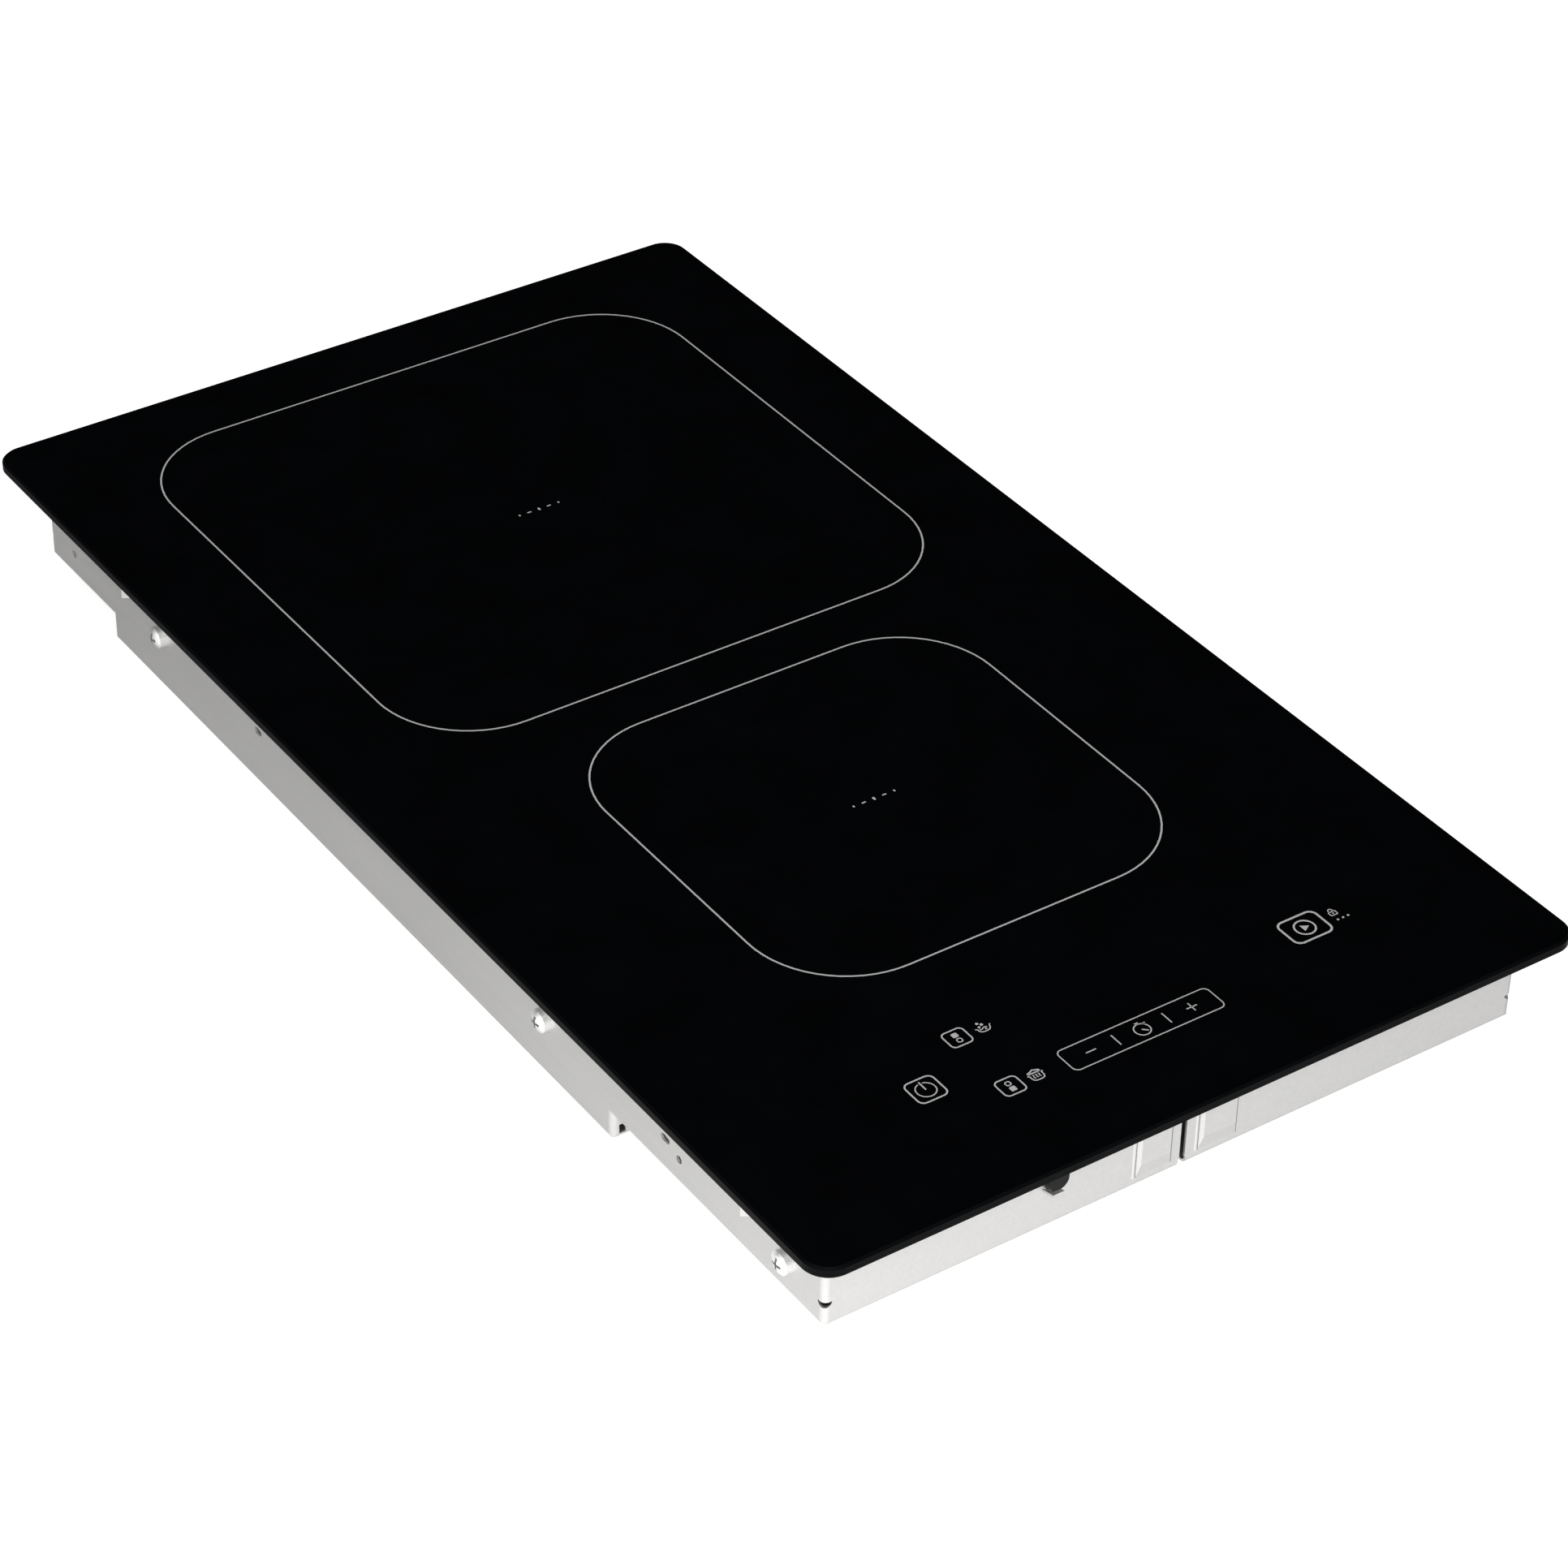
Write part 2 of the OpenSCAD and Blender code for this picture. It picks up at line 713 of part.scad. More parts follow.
// Small ferrite transformer: core, bobbin and its winding
module supply_transformer() {
    color([0.25, 0.24, 0.24]) translate([2, 72, board_top]) {
        translate([-11, -9, 1]) cube([22, 4, 15]);
        translate([-11, 5, 1]) cube([22, 4, 15]);
        translate([-3, -6, 4]) cube([6, 12, 9]);
    }
    color([0.85, 0.75, 0.3])
        translate([2, 72, board_top + 8.5]) rotate([90, 0, 0]) cylinder(d = 15, h = 9.8, center = true);
    color([0.1, 0.1, 0.1]) translate([-10, 63, board_top]) cube([24, 18, 1.2]);
}

// Plug-in connectors along the board's left edge and the two coil terminals
module board_connectors() {
    color([0.9, 0.89, 0.84]) {
        for (y = [-100, -50, -36])
            translate([board_x0 + 16, y, board_top]) difference() {
                translate([-6, -4, 0]) cube([12, 8, 9]);
                translate([-4.8, -2.8, 3]) cube([9.6, 5.6, 9]);
            }
        for (z = [REAR, FRONT]) for (k = [-1, 1])
            translate([lead_x + k * lead_pitch / 2, lead_y(z), board_top]) cylinder(d = 6.4, h = 5.9);
    }
}

module board_screws() {
    color([0.8, 0.8, 0.8])
        for (x = post_x, y = post_y)
            translate([x, y, board_top]) cross_screw(2.4, 4, 5.4, 2);
}

// ---------- fan ----------

fan_z = floor_z + housing_floor_t + 0.2;
fan_h = 20.4;
fan_wall = 1.5;
scroll_r = 42;
fan_out_w = 46;
fan_out_y = -62;
// Outline of the blower: round scroll and a straight duct to the front
module fan_outline(grow) {
    circle(scroll_r + grow, $fn = 96);
    translate([-4 - grow, fan_out_y]) square([fan_out_w + 2 * grow, -fan_out_y]);
}

screw_spots = [for (a = [143, 217, 104]) [46 * cos(a), 46 * sin(a)]];

module fan_housing() {
    color([0.09, 0.09, 0.1])
        translate([fan_x, fan_y, fan_z]) {
            difference() {
                union() {
                    linear_extrude(fan_h) fan_outline(fan_wall);
                    for (p = screw_spots) translate([p[0], p[1], 0]) cylinder(r = 4, h = fan_h);
                }
                translate([0, 0, fan_wall]) linear_extrude(fan_h) {
                    fan_outline(0);
                    translate([-4, fan_out_y - 3]) square([fan_out_w, 6]);
                }
                translate([0, 0, -1]) cylinder(r = 27, h = 6);
                for (p = screw_spots) translate([p[0], p[1], 6]) cylinder(r = 1.2, h = fan_h);
            }
        }
}

module fan_cover() {
    color([0.1, 0.1, 0.11])
        translate([fan_x, fan_y, fan_z + fan_h]) difference() {
            linear_extrude(fan_wall) {
                fan_outline(fan_wall);
                for (p = screw_spots) translate(p) circle(4);
            }
            for (p = screw_spots) translate([p[0], p[1], -1]) cylinder(r = 1.6, h = 5);
        }
}

motor_r = 13;
shaft_r = 1.5;
// Stator and shaft hanging from the cover
module fan_motor() {
    top = fan_z + fan_h;
    color([0.55, 0.4, 0.25])
        translate([fan_x, fan_y, 0]) {
            translate([0, 0, top - 9]) cylinder(r = motor_r, h = 9);
            translate([0, 0, top - 1.6]) cylinder(r = 17, h = 1.6);
            translate([0, 0, top - 14]) cylinder(r = shaft_r, h = 14);
        }
}

// Forward-curved blower wheel: hub cup over the stator, back disc, blades and shroud ring
module fan_impeller() {
    top = fan_z + fan_h;
    cup_z = top - 15;
    disc_z = top - 5.2;
    blade_z = fan_z + fan_wall + 1.2;
    cup_in = motor_r + 1.2;
    color([0.14, 0.14, 0.15])
        translate([fan_x, fan_y, 0]) difference() {
            union() {
                translate([0, 0, cup_z]) cylinder(r = cup_in + 1.4, h = disc_z + 1.2 - cup_z);
                translate([0, 0, disc_z]) cylinder(r = impeller_r, h = 1.2);
                translate([0, 0, blade_z]) tube(impeller_r, impeller_r - 2, 1.4);
                for (i = [0:blades - 1]) rotate(i * 360 / blades)
                    translate([impeller_r - 1.2, 0, blade_z + 0.5]) rotate(28) translate([-8, -0.5, 0])
                        cube([8, 1, disc_z - blade_z]);
            }
            translate([0, 0, cup_z + 1.8]) cylinder(r = cup_in, h = 20);
            translate([0, 0, cup_z - 1]) cylinder(r = shaft_r + running_gap, h = 5);
        }
}

module fan_screws() {
    color([0.75, 0.75, 0.76])
        for (p = screw_spots)
            translate([fan_x + p[0], fan_y + p[1], fan_z + fan_h + fan_wall]) cross_screw(2.4, 9, 4.8, 0.9);
}

// ---------- shield plate ----------

plate_w = 236;
plate_front = -158;
plate_rear = 224;
flange_front = -122;
flange_rear = 186;
plate_screw_y = [-100, 40, 170];
plate_screw_z = 9;
plate_screw_d = 3;
// Aluminium plate over the electronics; it carries the coil springs and their guide pins
module shield_plate() {
    depth = plate_rear - plate_front;
    color([0.8, 0.81, 0.82]) {
        difference() {
            translate([0, (plate_rear + plate_front) / 2, plate_z]) round_plate(plate_w, depth, plate_t, 4);
            for (z = [REAR, FRONT])
                translate([lead_x, lead_y(z), plate_z - 1]) linear_extrude(4) slot_2d(lead_pitch + 10, 9);
            for (z = [REAR, FRONT])
                translate([0, zone_y(z), plate_z - 1]) cylinder(r = 12, h = 4);
        }
        for (s = [-1, 1]) difference() {
            translate([s * (plate_w / 2 - plate_t / 2), (flange_front + flange_rear) / 2,
                       (floor_z + plate_z) / 2])
                cube([plate_t, flange_rear - flange_front, plate_z - floor_z + eps], center = true);
            for (y = plate_screw_y)
                translate([s * plate_w / 2, y, plate_screw_z]) rotate([0, 90, 0])
                    cylinder(d = plate_screw_d + 0.2, h = 6, center = true);
        }
        for (z = [REAR, FRONT], k = guide_angles)
            translate([0, zone_y(z), plate_top - eps]) rotate(k * 360 / bars(z))
                translate([pin_ring(z), 0, 0])
                    cylinder(r = guide_pin_r, h = former_z - coil_travel - 0.3 - plate_top);
    }
}

// Screws joining the plate's flanges to lugs of the plastic tray
module plate_screws() {
    color([0.82, 0.82, 0.83])
        for (s = [-1, 1], y = plate_screw_y)
            translate([s * plate_w / 2, y, plate_screw_z]) rotate([0, s * 90, 0])
                cross_screw(plate_screw_d, 3, 5.4, 2);
}

// ---------- coil carriers ----------

module coil_springs(z) {
    color([0.7, 0.7, 0.72])
        for (a = spring_angles)
            translate([spring_ring(z) * cos(a), zone_y(z) + spring_ring(z) * sin(a), 0])
                helical_spring(6, 0.55, plate_top, base_z, 4);
}

module coil_base(z) {
    color([0.82, 0.83, 0.84])
        translate([0, zone_y(z), base_z]) difference() {
            cylinder(r = disc_r(z), h = base_t, $fn = 96);
            translate([0, 0, -1]) cylinder(r = sleeve_r, h = 4);
            for (k = guide_angles) rotate(k * 360 / bars(z))
                translate([pin_ring(z), 0, -1]) cylinder(r = guide_hole_r, h = 4);
            for (a = spring_angles) rotate(a)
                translate([spring_ring(z), 0, -1]) cylinder(r = 2, h = 4);
        }
}

// Radial ferrite bars glued to the base
module ferrites(z) {
    bar_w = 13;
    start = coil_in(z) - 2;
    color([0.2, 0.2, 0.21])
        for (i = [0:bars(z) - 1])
            translate([0, zone_y(z), ferrite_z]) rotate(i * 360 / bars(z))
                translate([start, -bar_w / 2, 0]) cube([coil_r(z) - start, bar_w, ferrite_t]);
}

// Thin plastic spider under the winding
module coil_former(z) {
    spokes = bars(z);
    color([0.85, 0.83, 0.76])
        translate([0, zone_y(z), former_z]) {
            tube(coil_in(z), coil_in(z) - 6, former_t);
            tube(coil_r(z) + 2, coil_r(z) - 3, former_t);
            for (i = [0:spokes - 1]) rotate(i * 360 / spokes)
                translate([coil_in(z) - 2, -8, 0]) cube([coil_r(z) - coil_in(z), 16, former_t]);
        }
}

// Litz turns laid side by side in one flat layer
module winding(z) {
    pitch = wire_d + 0.15;
    turns = floor((coil_r(z) - coil_in(z)) / pitch);
    color([0.72, 0.4, 0.2])
        translate([0, zone_y(z), winding_z]) rotate_extrude($fn = 96) {
            for (i = [0:turns - 1])
                translate([coil_in(z) + wire_d / 2 + i * pitch, wire_d / 2]) circle(wire_d / 2, $fn = 24);
            translate([coil_in(z) + wire_d / 2, wire_d * 0.3])
                square([(turns - 1) * pitch, wire_d * 0.4]);
        }
}

module insulation(z) {
    color([0.88, 0.86, 0.8])
        translate([0, zone_y(z), sheet_z]) tube(disc_r(z) - 1, bore_r + 1, insulation_t);
}

// Guide sleeve of the temperature sensor, with a flange on the base
module sensor_sleeve(z) {
    color([0.9, 0.88, 0.82])
        translate([0, zone_y(z), 0]) difference() {
            union() {
                translate([0, 0, sleeve_floor_z]) cylinder(r = sleeve_r, h = sleeve_top_z - sleeve_floor_z);
                translate([0, 0, ferrite_z]) cylinder(r = sleeve_r + 2, h = 1.2);
            }
            translate([0, 0, sleeve_floor_z + sleeve_floor_t]) cylinder(r = bore_r, h = 20);
            translate([0, 0, sleeve_floor_z - 1]) cylinder(r = 2, h = 4);
        }
}

module sensor_spring(z) {
    color([0.75, 0.75, 0.76])
        translate([0, zone_y(z), 0])
            helical_spring(4, 0.35, sleeve_floor_z + sleeve_floor_t, sensor_z, 5);
}

// Sprung sensor head that touches the underside of the glass
module sensor_head(z) {
    color([0.93, 0.92, 0.9])
        translate([0, zone_y(z), sensor_z]) difference() {
            union() {
                cylinder(r = sensor_r, h = glass_under - 0.9 - sensor_z);
                translate([0, 0, glass_under - 0.9 - sensor_z - eps])
                    cylinder(r1 = sensor_r, r2 = sensor_r - 0.8, h = 0.8);
            }
            translate([0, 0, -1]) cylinder(r = 2.6, h = 4);
        }
}

// Two winding leads dropping to the board's terminals
module coil_leads(z) {
    color([0.85, 0.85, 0.8])
        for (k = [-1, 1])
            translate([lead_x + k * lead_pitch / 2, lead_y(z), lead_z])
                cylinder(r = lead_r, h = base_z - lead_z);
}

module rear_coil_springs() { coil_springs(REAR); }
module rear_coil_base() { coil_base(REAR); }
module rear_ferrites() { ferrites(REAR); }
module rear_coil_former() { coil_former(REAR); }
module rear_winding() { winding(REAR); }
module rear_insulation() { insulation(REAR); }
module rear_sensor_sleeve() { sensor_sleeve(REAR); }
module rear_sensor_spring() { sensor_spring(REAR); }
module rear_sensor() { sensor_head(REAR); }
module rear_coil_leads() { coil_leads(REAR); }
module front_coil_springs() { coil_springs(FRONT); }
module front_coil_base() { coil_base(FRONT); }
module front_ferrites() { ferrites(FRONT); }
module front_coil_former() { coil_former(FRONT); }
module front_winding() { winding(FRONT); }
module front_insulation() { insulation(FRONT); }
module front_sensor_sleeve() { sensor_sleeve(FRONT); }
module front_sensor_spring() { sensor_spring(FRONT); }
module front_sensor() { sensor_head(FRONT); }
module front_coil_leads() { coil_leads(FRONT); }

// ---------- touch controls ----------

touch_x0 = -86;
touch_x1 = 92;
touch_y0 = -224;
touch_y1 = -184;
touch_z = 38.0;
touch_t = 1.2;
ribbon_x = -50;
slide_step = 19;
key_spots = [power_key, [select_x, select_y[0]], [select_x, select_y[1]], slider - [slide_step, 0],
             slider, slider + [slide_step, 0], start_key];

// Plastic carrier standing on the shallow front end
module touch_carrier() {
    deck_z = touch_z - 3;
    w = touch_x1 - touch_x0;
    d = touch_y1 - touch_y0;
    color([0.12, 0.12, 0.13]) {
        translate([(touch_x0 + touch_x1) / 2, (touch_y0 + touch_y1) / 2, deck_z]) difference() {
            round_plate(w + 6, d + 6, 4.6, 3);
            translate([0, 0, 1.5]) round_plate(w + 0.6, d + 0.6, 6, 1);
            translate([0, 0, -1]) round_plate(w - 30, d - 16, 6, 3);
        }
        for (x = [touch_x0, touch_x1], y = [touch_y0, touch_y1])
            translate([x, y, step_h + sheet_t]) cylinder(r = 3.2, h = deck_z - step_h - sheet_t + eps);
    }
}

module touch_board() {
    color([0.08, 0.3, 0.18]) {
        translate([touch_x0, touch_y0, touch_z]) cube([touch_x1 - touch_x0, touch_y1 - touch_y0, touch_t]);
        translate([ribbon_x - 14, touch_y1 - 15, touch_z - 1.1]) cube([28, 6, 1.1]);
    }
}

// Conductive foam plugs between the board and the underside of the glass
module touch_pads() {
    color([0.2, 0.2, 0.21])
        for (p = key_spots)
            translate([p[0], p[1], touch_z + touch_t])
                cylinder(r = 3.6, h = glass_under - 0.1 - touch_z - touch_t);
}

display_spots = [[-36, -204.3], [0, -200], [50, -205.9]];
// Light-emitting display blocks that shine through the glass
module display_blocks() {
    color([0.35, 0.05, 0.05])
        for (p = display_spots)
            translate([p[0] - 6, p[1] - 4.5, touch_z + touch_t]) cube([12, 9, 3.0]);
}

// Flat cable from the power board up to the touch board
module control_ribbon() {
    ribbon_w = 22;
    t = 0.8;
    low = 13;
    bend_y = -176;
    high = touch_z - 3 - t - 0.2;
    color([0.7, 0.71, 0.74])
        translate([ribbon_x, 0, 0]) along_x(ribbon_w) {
            translate([bend_y, low]) square([board_y0 + 14 - bend_y, t]);
            translate([bend_y, low]) square([t, high - low + t]);
            translate([touch_y1 - 12, high]) square([bend_y - touch_y1 + 12 + t, t]);
            translate([touch_y1 - 12, high]) square([t, touch_z - 1.1 - high]);
            translate([board_y0 + 14 - t, board_top]) square([t, low - board_top + t]);
        }
}

// ---------- terminal box and cable inlet ----------

module terminal_box() {
    depth = term_back - term_front;
    low = step_h + sheet_t;
    ear_t = 2;
    color([0.11, 0.11, 0.12]) {
        difference() {
            translate([term_x, (term_front + term_back) / 2, low])
                round_plate(term_w, depth, term_top - low, 2);
            translate([term_x, (term_front + term_back) / 2, low - 1])
                round_plate(term_w - 2 * term_wall, depth - 2 * term_wall, term_top - low + 1 - term_wall, 1);
            translate([term_x, term_back - 5, inlet_z]) rotate([-90, 0, 0])
                cylinder(r = inlet_body_r + 0.1, h = 8);
        }
        for (s = [-1, 1])
            translate([term_x + s * (term_w / 2 + 1.2), 0, 0]) difference() {
                union() {
                    translate([-ear_t / 2, lid_axis_y - 1.8, lid_axis_z]) cube([ear_t, 4.4, 10]);
                    translate([-ear_t / 2, lid_axis_y, lid_axis_z]) rotate([0, 90, 0])
                        cylinder(r = 1.8, h = ear_t);
                    translate([s > 0 ? -ear_t / 2 - 1 : -ear_t / 2, lid_axis_y + 1, 13])
                        cube([ear_t + 1, 6, 4]);
                }
                translate([-4, lid_axis_y, lid_axis_z]) rotate([0, 90, 0])
                    cylinder(r = lid_pin_r + 0.06, h = 8);
            }
    }
}

poles = 5;
pole_pitch = 9;
pole_seat = 3;
// Screw terminal strip hanging from the box's roof, its clamps facing down
module terminal_strip() {
    strip_w = poles * pole_pitch + 3;
    color([0.88, 0.87, 0.83])
        translate([term_x, 207, term_top - term_wall]) difference() {
            translate([-strip_w / 2, -6, -9]) cube([strip_w, 12, 9]);
            for (i = [0:poles - 1])
                translate([(i - (poles - 1) / 2) * pole_pitch, 0, -10]) {
                    cylinder(r = 2.6, h = 10 - pole_seat);
                    cylinder(d = 3, h = 10 - pole_seat + 1.6);
                }
            for (i = [1:poles - 1])
                translate([(i - poles / 2) * pole_pitch - 0.5, -7, -10]) cube([1, 14, 4]);
        }
}

module terminal_screws() {
    color([0.8, 0.72, 0.42])
        for (i = [0:poles - 1])
            translate([term_x + (i - (poles - 1) / 2) * pole_pitch, 207, term_top - term_wall - pole_seat])
                mirror([0, 0, 1]) cross_screw(3, 1.5, 4.8, 2);
}

// Snap-shut lid under the terminal box, hinged on two stub pins
module terminal_lid() {
    lid_w = term_w - 1;
    lid_back = term_back - 1.5;
    color([0.12, 0.12, 0.13]) {
        translate([term_x - lid_w / 2, lid_axis_y + 1, lid_axis_z])
            cube([lid_w, lid_back - lid_axis_y - 1, lid_t]);
        for (i = [-3:3])
            translate([term_x + i * 7 - 0.6, lid_axis_y + 8, lid_axis_z - 0.6]) cube([1.2, 22, 0.7]);
        translate([term_x - lid_w / 2, lid_axis_y, lid_axis_z]) rotate([0, 90, 0])
            cylinder(r = 1.7, h = lid_w);
        translate([term_x - term_w / 2 - 2.2, lid_axis_y, lid_axis_z]) rotate([0, 90, 0])
            cylinder(r = lid_pin_r, h = term_w + 4.4);
        translate([term_x - 5, lid_back - 1, lid_axis_z - 1.4]) cube([10, 1.4, 1.8]);
    }
}

// Bush that guides the supply cord through the rear wall
module cable_inlet_bush() {
    inner = 6;
    flange_t = 2;
    color([0.08, 0.08, 0.09])
        translate([term_x, tray_rear + flange_t, inlet_z]) rotate([90, 0, 0]) difference() {
            union() {
                tube(inlet_body_r + 1.6, inlet_r, flange_t);
                tube(inlet_body_r, inlet_r, flange_t + sheet_t + inner);
            }
            translate([0, 0, -1]) cylinder(r = inlet_r, h = 20);
        }
}

glass_top();
printed_marks();
worktop_seal();
silicone_bond();
glass_frame();
chassis_tray();
side_screws();
front_grommet();
electronics_housing();
power_board();
heat_sink();
power_transistors();
bridge_rectifier();
resonant_capacitors();
bus_capacitors();
electrolytic_capacitors();
filter_choke();
relays();
mains_fuse();
supply_transformer();
board_connectors();
board_screws();
fan_housing();
fan_cover();
fan_motor();
fan_impeller();
fan_screws();
shield_plate();
plate_screws();
rear_coil_springs();
rear_coil_base();
rear_ferrites();
rear_coil_former();
rear_winding();
rear_insulation();
rear_sensor_sleeve();
rear_sensor_spring();
rear_sensor();
rear_coil_leads();
front_coil_springs();
front_coil_base();
front_ferrites();
front_coil_former();
front_winding();
front_insulation();
front_sensor_sleeve();
front_sensor_spring();
front_sensor();
front_coil_leads();
touch_carrier();
touch_board();
touch_pads();
display_blocks();
control_ribbon();
terminal_box();
terminal_strip();
terminal_screws();
terminal_lid();
cable_inlet_bush();
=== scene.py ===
import json
import math

import bmesh
import bpy
from mathutils import Matrix, Vector

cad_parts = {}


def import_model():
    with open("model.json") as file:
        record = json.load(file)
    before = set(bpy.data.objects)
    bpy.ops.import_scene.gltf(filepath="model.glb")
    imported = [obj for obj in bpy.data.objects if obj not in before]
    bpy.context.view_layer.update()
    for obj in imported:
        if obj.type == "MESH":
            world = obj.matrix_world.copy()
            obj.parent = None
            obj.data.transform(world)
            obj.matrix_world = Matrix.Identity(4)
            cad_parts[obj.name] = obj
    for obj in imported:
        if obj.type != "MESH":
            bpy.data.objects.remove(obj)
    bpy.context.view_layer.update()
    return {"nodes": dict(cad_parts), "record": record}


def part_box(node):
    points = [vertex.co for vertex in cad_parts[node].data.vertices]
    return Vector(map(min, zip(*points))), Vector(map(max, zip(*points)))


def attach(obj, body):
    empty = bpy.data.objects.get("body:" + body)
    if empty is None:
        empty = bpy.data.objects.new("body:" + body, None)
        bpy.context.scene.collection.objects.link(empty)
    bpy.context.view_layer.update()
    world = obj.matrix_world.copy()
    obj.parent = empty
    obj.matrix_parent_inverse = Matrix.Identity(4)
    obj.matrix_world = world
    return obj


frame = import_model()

nodes = frame["nodes"]
MM = 0.001
TOP_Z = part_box("glass_top")[1].z
PRINT_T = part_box("printed_marks")[1].z - TOP_Z

# ---------------------------------------------------------------- node trees


def grey(level):
    return level, level, level


class Nodes:
    """Short ways to build a node tree."""

    def __init__(self, tree):
        self.tree = tree

    def node(self, kind, **props):
        made = self.tree.nodes.new(kind)
        for key, value in props.items():
            setattr(made, key, value)
        return made

    def link(self, source, target):
        self.tree.links.new(source, target)

    def feed(self, value, socket):
        """Sets a socket to a number, or links another socket to it."""
        if isinstance(value, (int, float)):
            socket.default_value = value
        else:
            self.link(value, socket)

    def maths(self, operation, a, b):
        made = self.node("ShaderNodeMath", operation=operation)
        self.feed(a, made.inputs[0])
        self.feed(b, made.inputs[1])
        return made.outputs["Value"]

    def remap(self, source, low, high, from_low=0.0, from_high=1.0):
        made = self.node("ShaderNodeMapRange")
        made.inputs["From Min"].default_value = from_low
        made.inputs["From Max"].default_value = from_high
        made.inputs["To Min"].default_value = low
        made.inputs["To Max"].default_value = high
        self.link(source, made.inputs["Value"])
        return made.outputs["Result"]

    def ramp(self, source, *stops):
        made = self.node("ShaderNodeValToRGB")
        elements = made.color_ramp.elements
        while len(elements) < len(stops):
            elements.new(0.5)
        for element, (position, colour) in zip(elements, stops):
            element.position = position
            element.color = (*colour, 1.0)
        self.link(source, made.inputs["Fac"])
        return made.outputs["Color"]

    def split(self, output):
        """The X, Y and Z of one of the texture coordinates."""
        made = self.node("ShaderNodeSeparateXYZ")
        self.link(self.node("ShaderNodeTexCoord").outputs[output], made.inputs[0])
        return made.outputs


# ---------------------------------------------------------------- materials

GROUND_ROUGH = 0.5


class Finish(Nodes):
    """A procedural material. Its patterns are laid in object space, in metres."""

    def __init__(self, name, **fixed):
        self.material = bpy.data.materials.new(name)
        self.material.use_nodes = True
        super().__init__(self.material.node_tree)
        self.shader = self.tree.nodes["Principled BSDF"]
        for key, value in fixed.items():
            self.shader.inputs[key.replace("_", " ")].default_value = value
        self.place = self.node("ShaderNodeTexCoord").outputs["Object"]

    def stretched(self, scale):
        """Object coordinates squeezed per axis, for streaks and brushed lines."""
        mapping = self.node("ShaderNodeMapping")
        mapping.inputs["Scale"].default_value = scale
        self.link(self.place, mapping.inputs["Vector"])
        return mapping.outputs["Vector"]

    def noise(self, scale, detail=4.0, roughness=0.55, stretch=None, distortion=0.0):
        made = self.node("ShaderNodeTexNoise")
        made.inputs["Scale"].default_value = scale
        made.inputs["Detail"].default_value = detail
        made.inputs["Roughness"].default_value = roughness
        made.inputs["Distortion"].default_value = distortion
        self.link(self.stretched(stretch) if stretch else self.place, made.inputs["Vector"])
        return made.outputs["Fac"]

    def cells(self, scale, feature="F1", stretch=None):
        made = self.node("ShaderNodeTexVoronoi", feature=feature)
        made.inputs["Scale"].default_value = scale
        self.link(self.stretched(stretch) if stretch else self.place, made.inputs["Vector"])
        return made.outputs["Distance"]

    def waves(self, scale, direction, distortion=0.0, detail=0.0):
        made = self.node("ShaderNodeTexWave", wave_type="BANDS", bands_direction=direction)
        made.inputs["Scale"].default_value = scale
        made.inputs["Distortion"].default_value = distortion
        made.inputs["Detail"].default_value = detail
        self.link(self.place, made.inputs["Vector"])
        return made.outputs["Fac"]

    def blend(self, factor, pattern, colour):
        """From a pattern at factor 0 to one plain colour at factor 1."""
        made = self.node("ShaderNodeMix", data_type="RGBA")
        self.link(factor, made.inputs["Factor"])
        a, b = (next(s for s in made.inputs if s.name == name and s.type == "RGBA") for name in "AB")
        self.link(pattern, a)
        b.default_value = (*colour, 1.0)
        return next(s for s in made.outputs if s.type == "RGBA")

    def colour(self, source):
        self.link(source, self.shader.inputs["Base Color"])

    def roughness(self, source):
        self.link(source, self.shader.inputs["Roughness"])

    def bump(self, *layers):
        """Stacks height layers, each (height, depth in metres, strength)."""
        normal = None
        for height, depth, strength in layers:
            made = self.node("ShaderNodeBump")
            made.inputs["Distance"].default_value = depth
            made.inputs["Strength"].default_value = strength
            self.link(height, made.inputs["Height"])
            if normal is not None:
                self.link(normal, made.inputs["Normal"])
            normal = made.outputs["Normal"]
        self.link(normal, self.shader.inputs["Normal"])


def shade(colour, factor):
    return tuple(min(1.0, c * factor) for c in colour)


def tinted(f, colour, amount, scale):
    """Colour that drifts a little either side of its middle value."""
    drift = f.noise(scale, roughness=0.6)
    return f.ramp(drift, (0.3, shade(colour, 1 - amount)), (0.7, shade(colour, 1 + amount)))


def black_glass(name):
    """Polished on its face and sides, fine-ground on the bevel between them."""
    f = Finish(name, IOR=1.52, Specular_IOR_Level=0.03)
    f.colour(tinted(f, (0.0014, 0.0016, 0.002), 0.25, 40))
    haze = f.noise(18, 5, 0.6, distortion=0.4)
    wipes = f.noise(160, 3, 0.5, stretch=(1.0, 0.12, 1.0))
    upward = f.split("Normal")["Z"]
    ground = f.ramp(upward, (0.3, grey(0)), (0.5, grey(GROUND_ROUGH)),
                    (0.85, grey(GROUND_ROUGH)), (0.98, grey(0)))
    f.roughness(f.maths("ADD", ground, f.remap(f.maths("ADD", haze, wipes), 0.03, 0.075, 0.7, 1.4)))
    f.bump((f.noise(9, 2, 0.4), 0.00002, 0.06))
    return f.material


def enamel(name):
    f = Finish(name, IOR=1.5)
    dots = f.noise(4200, 2, 0.7)
    f.colour(f.ramp(dots, (0.25, (0.40, 0.40, 0.405)), (0.75, (0.50, 0.50, 0.505))))
    f.roughness(f.remap(f.noise(900), 0.38, 0.55))
    f.bump((dots, 0.00001, 0.3))
    return f.material


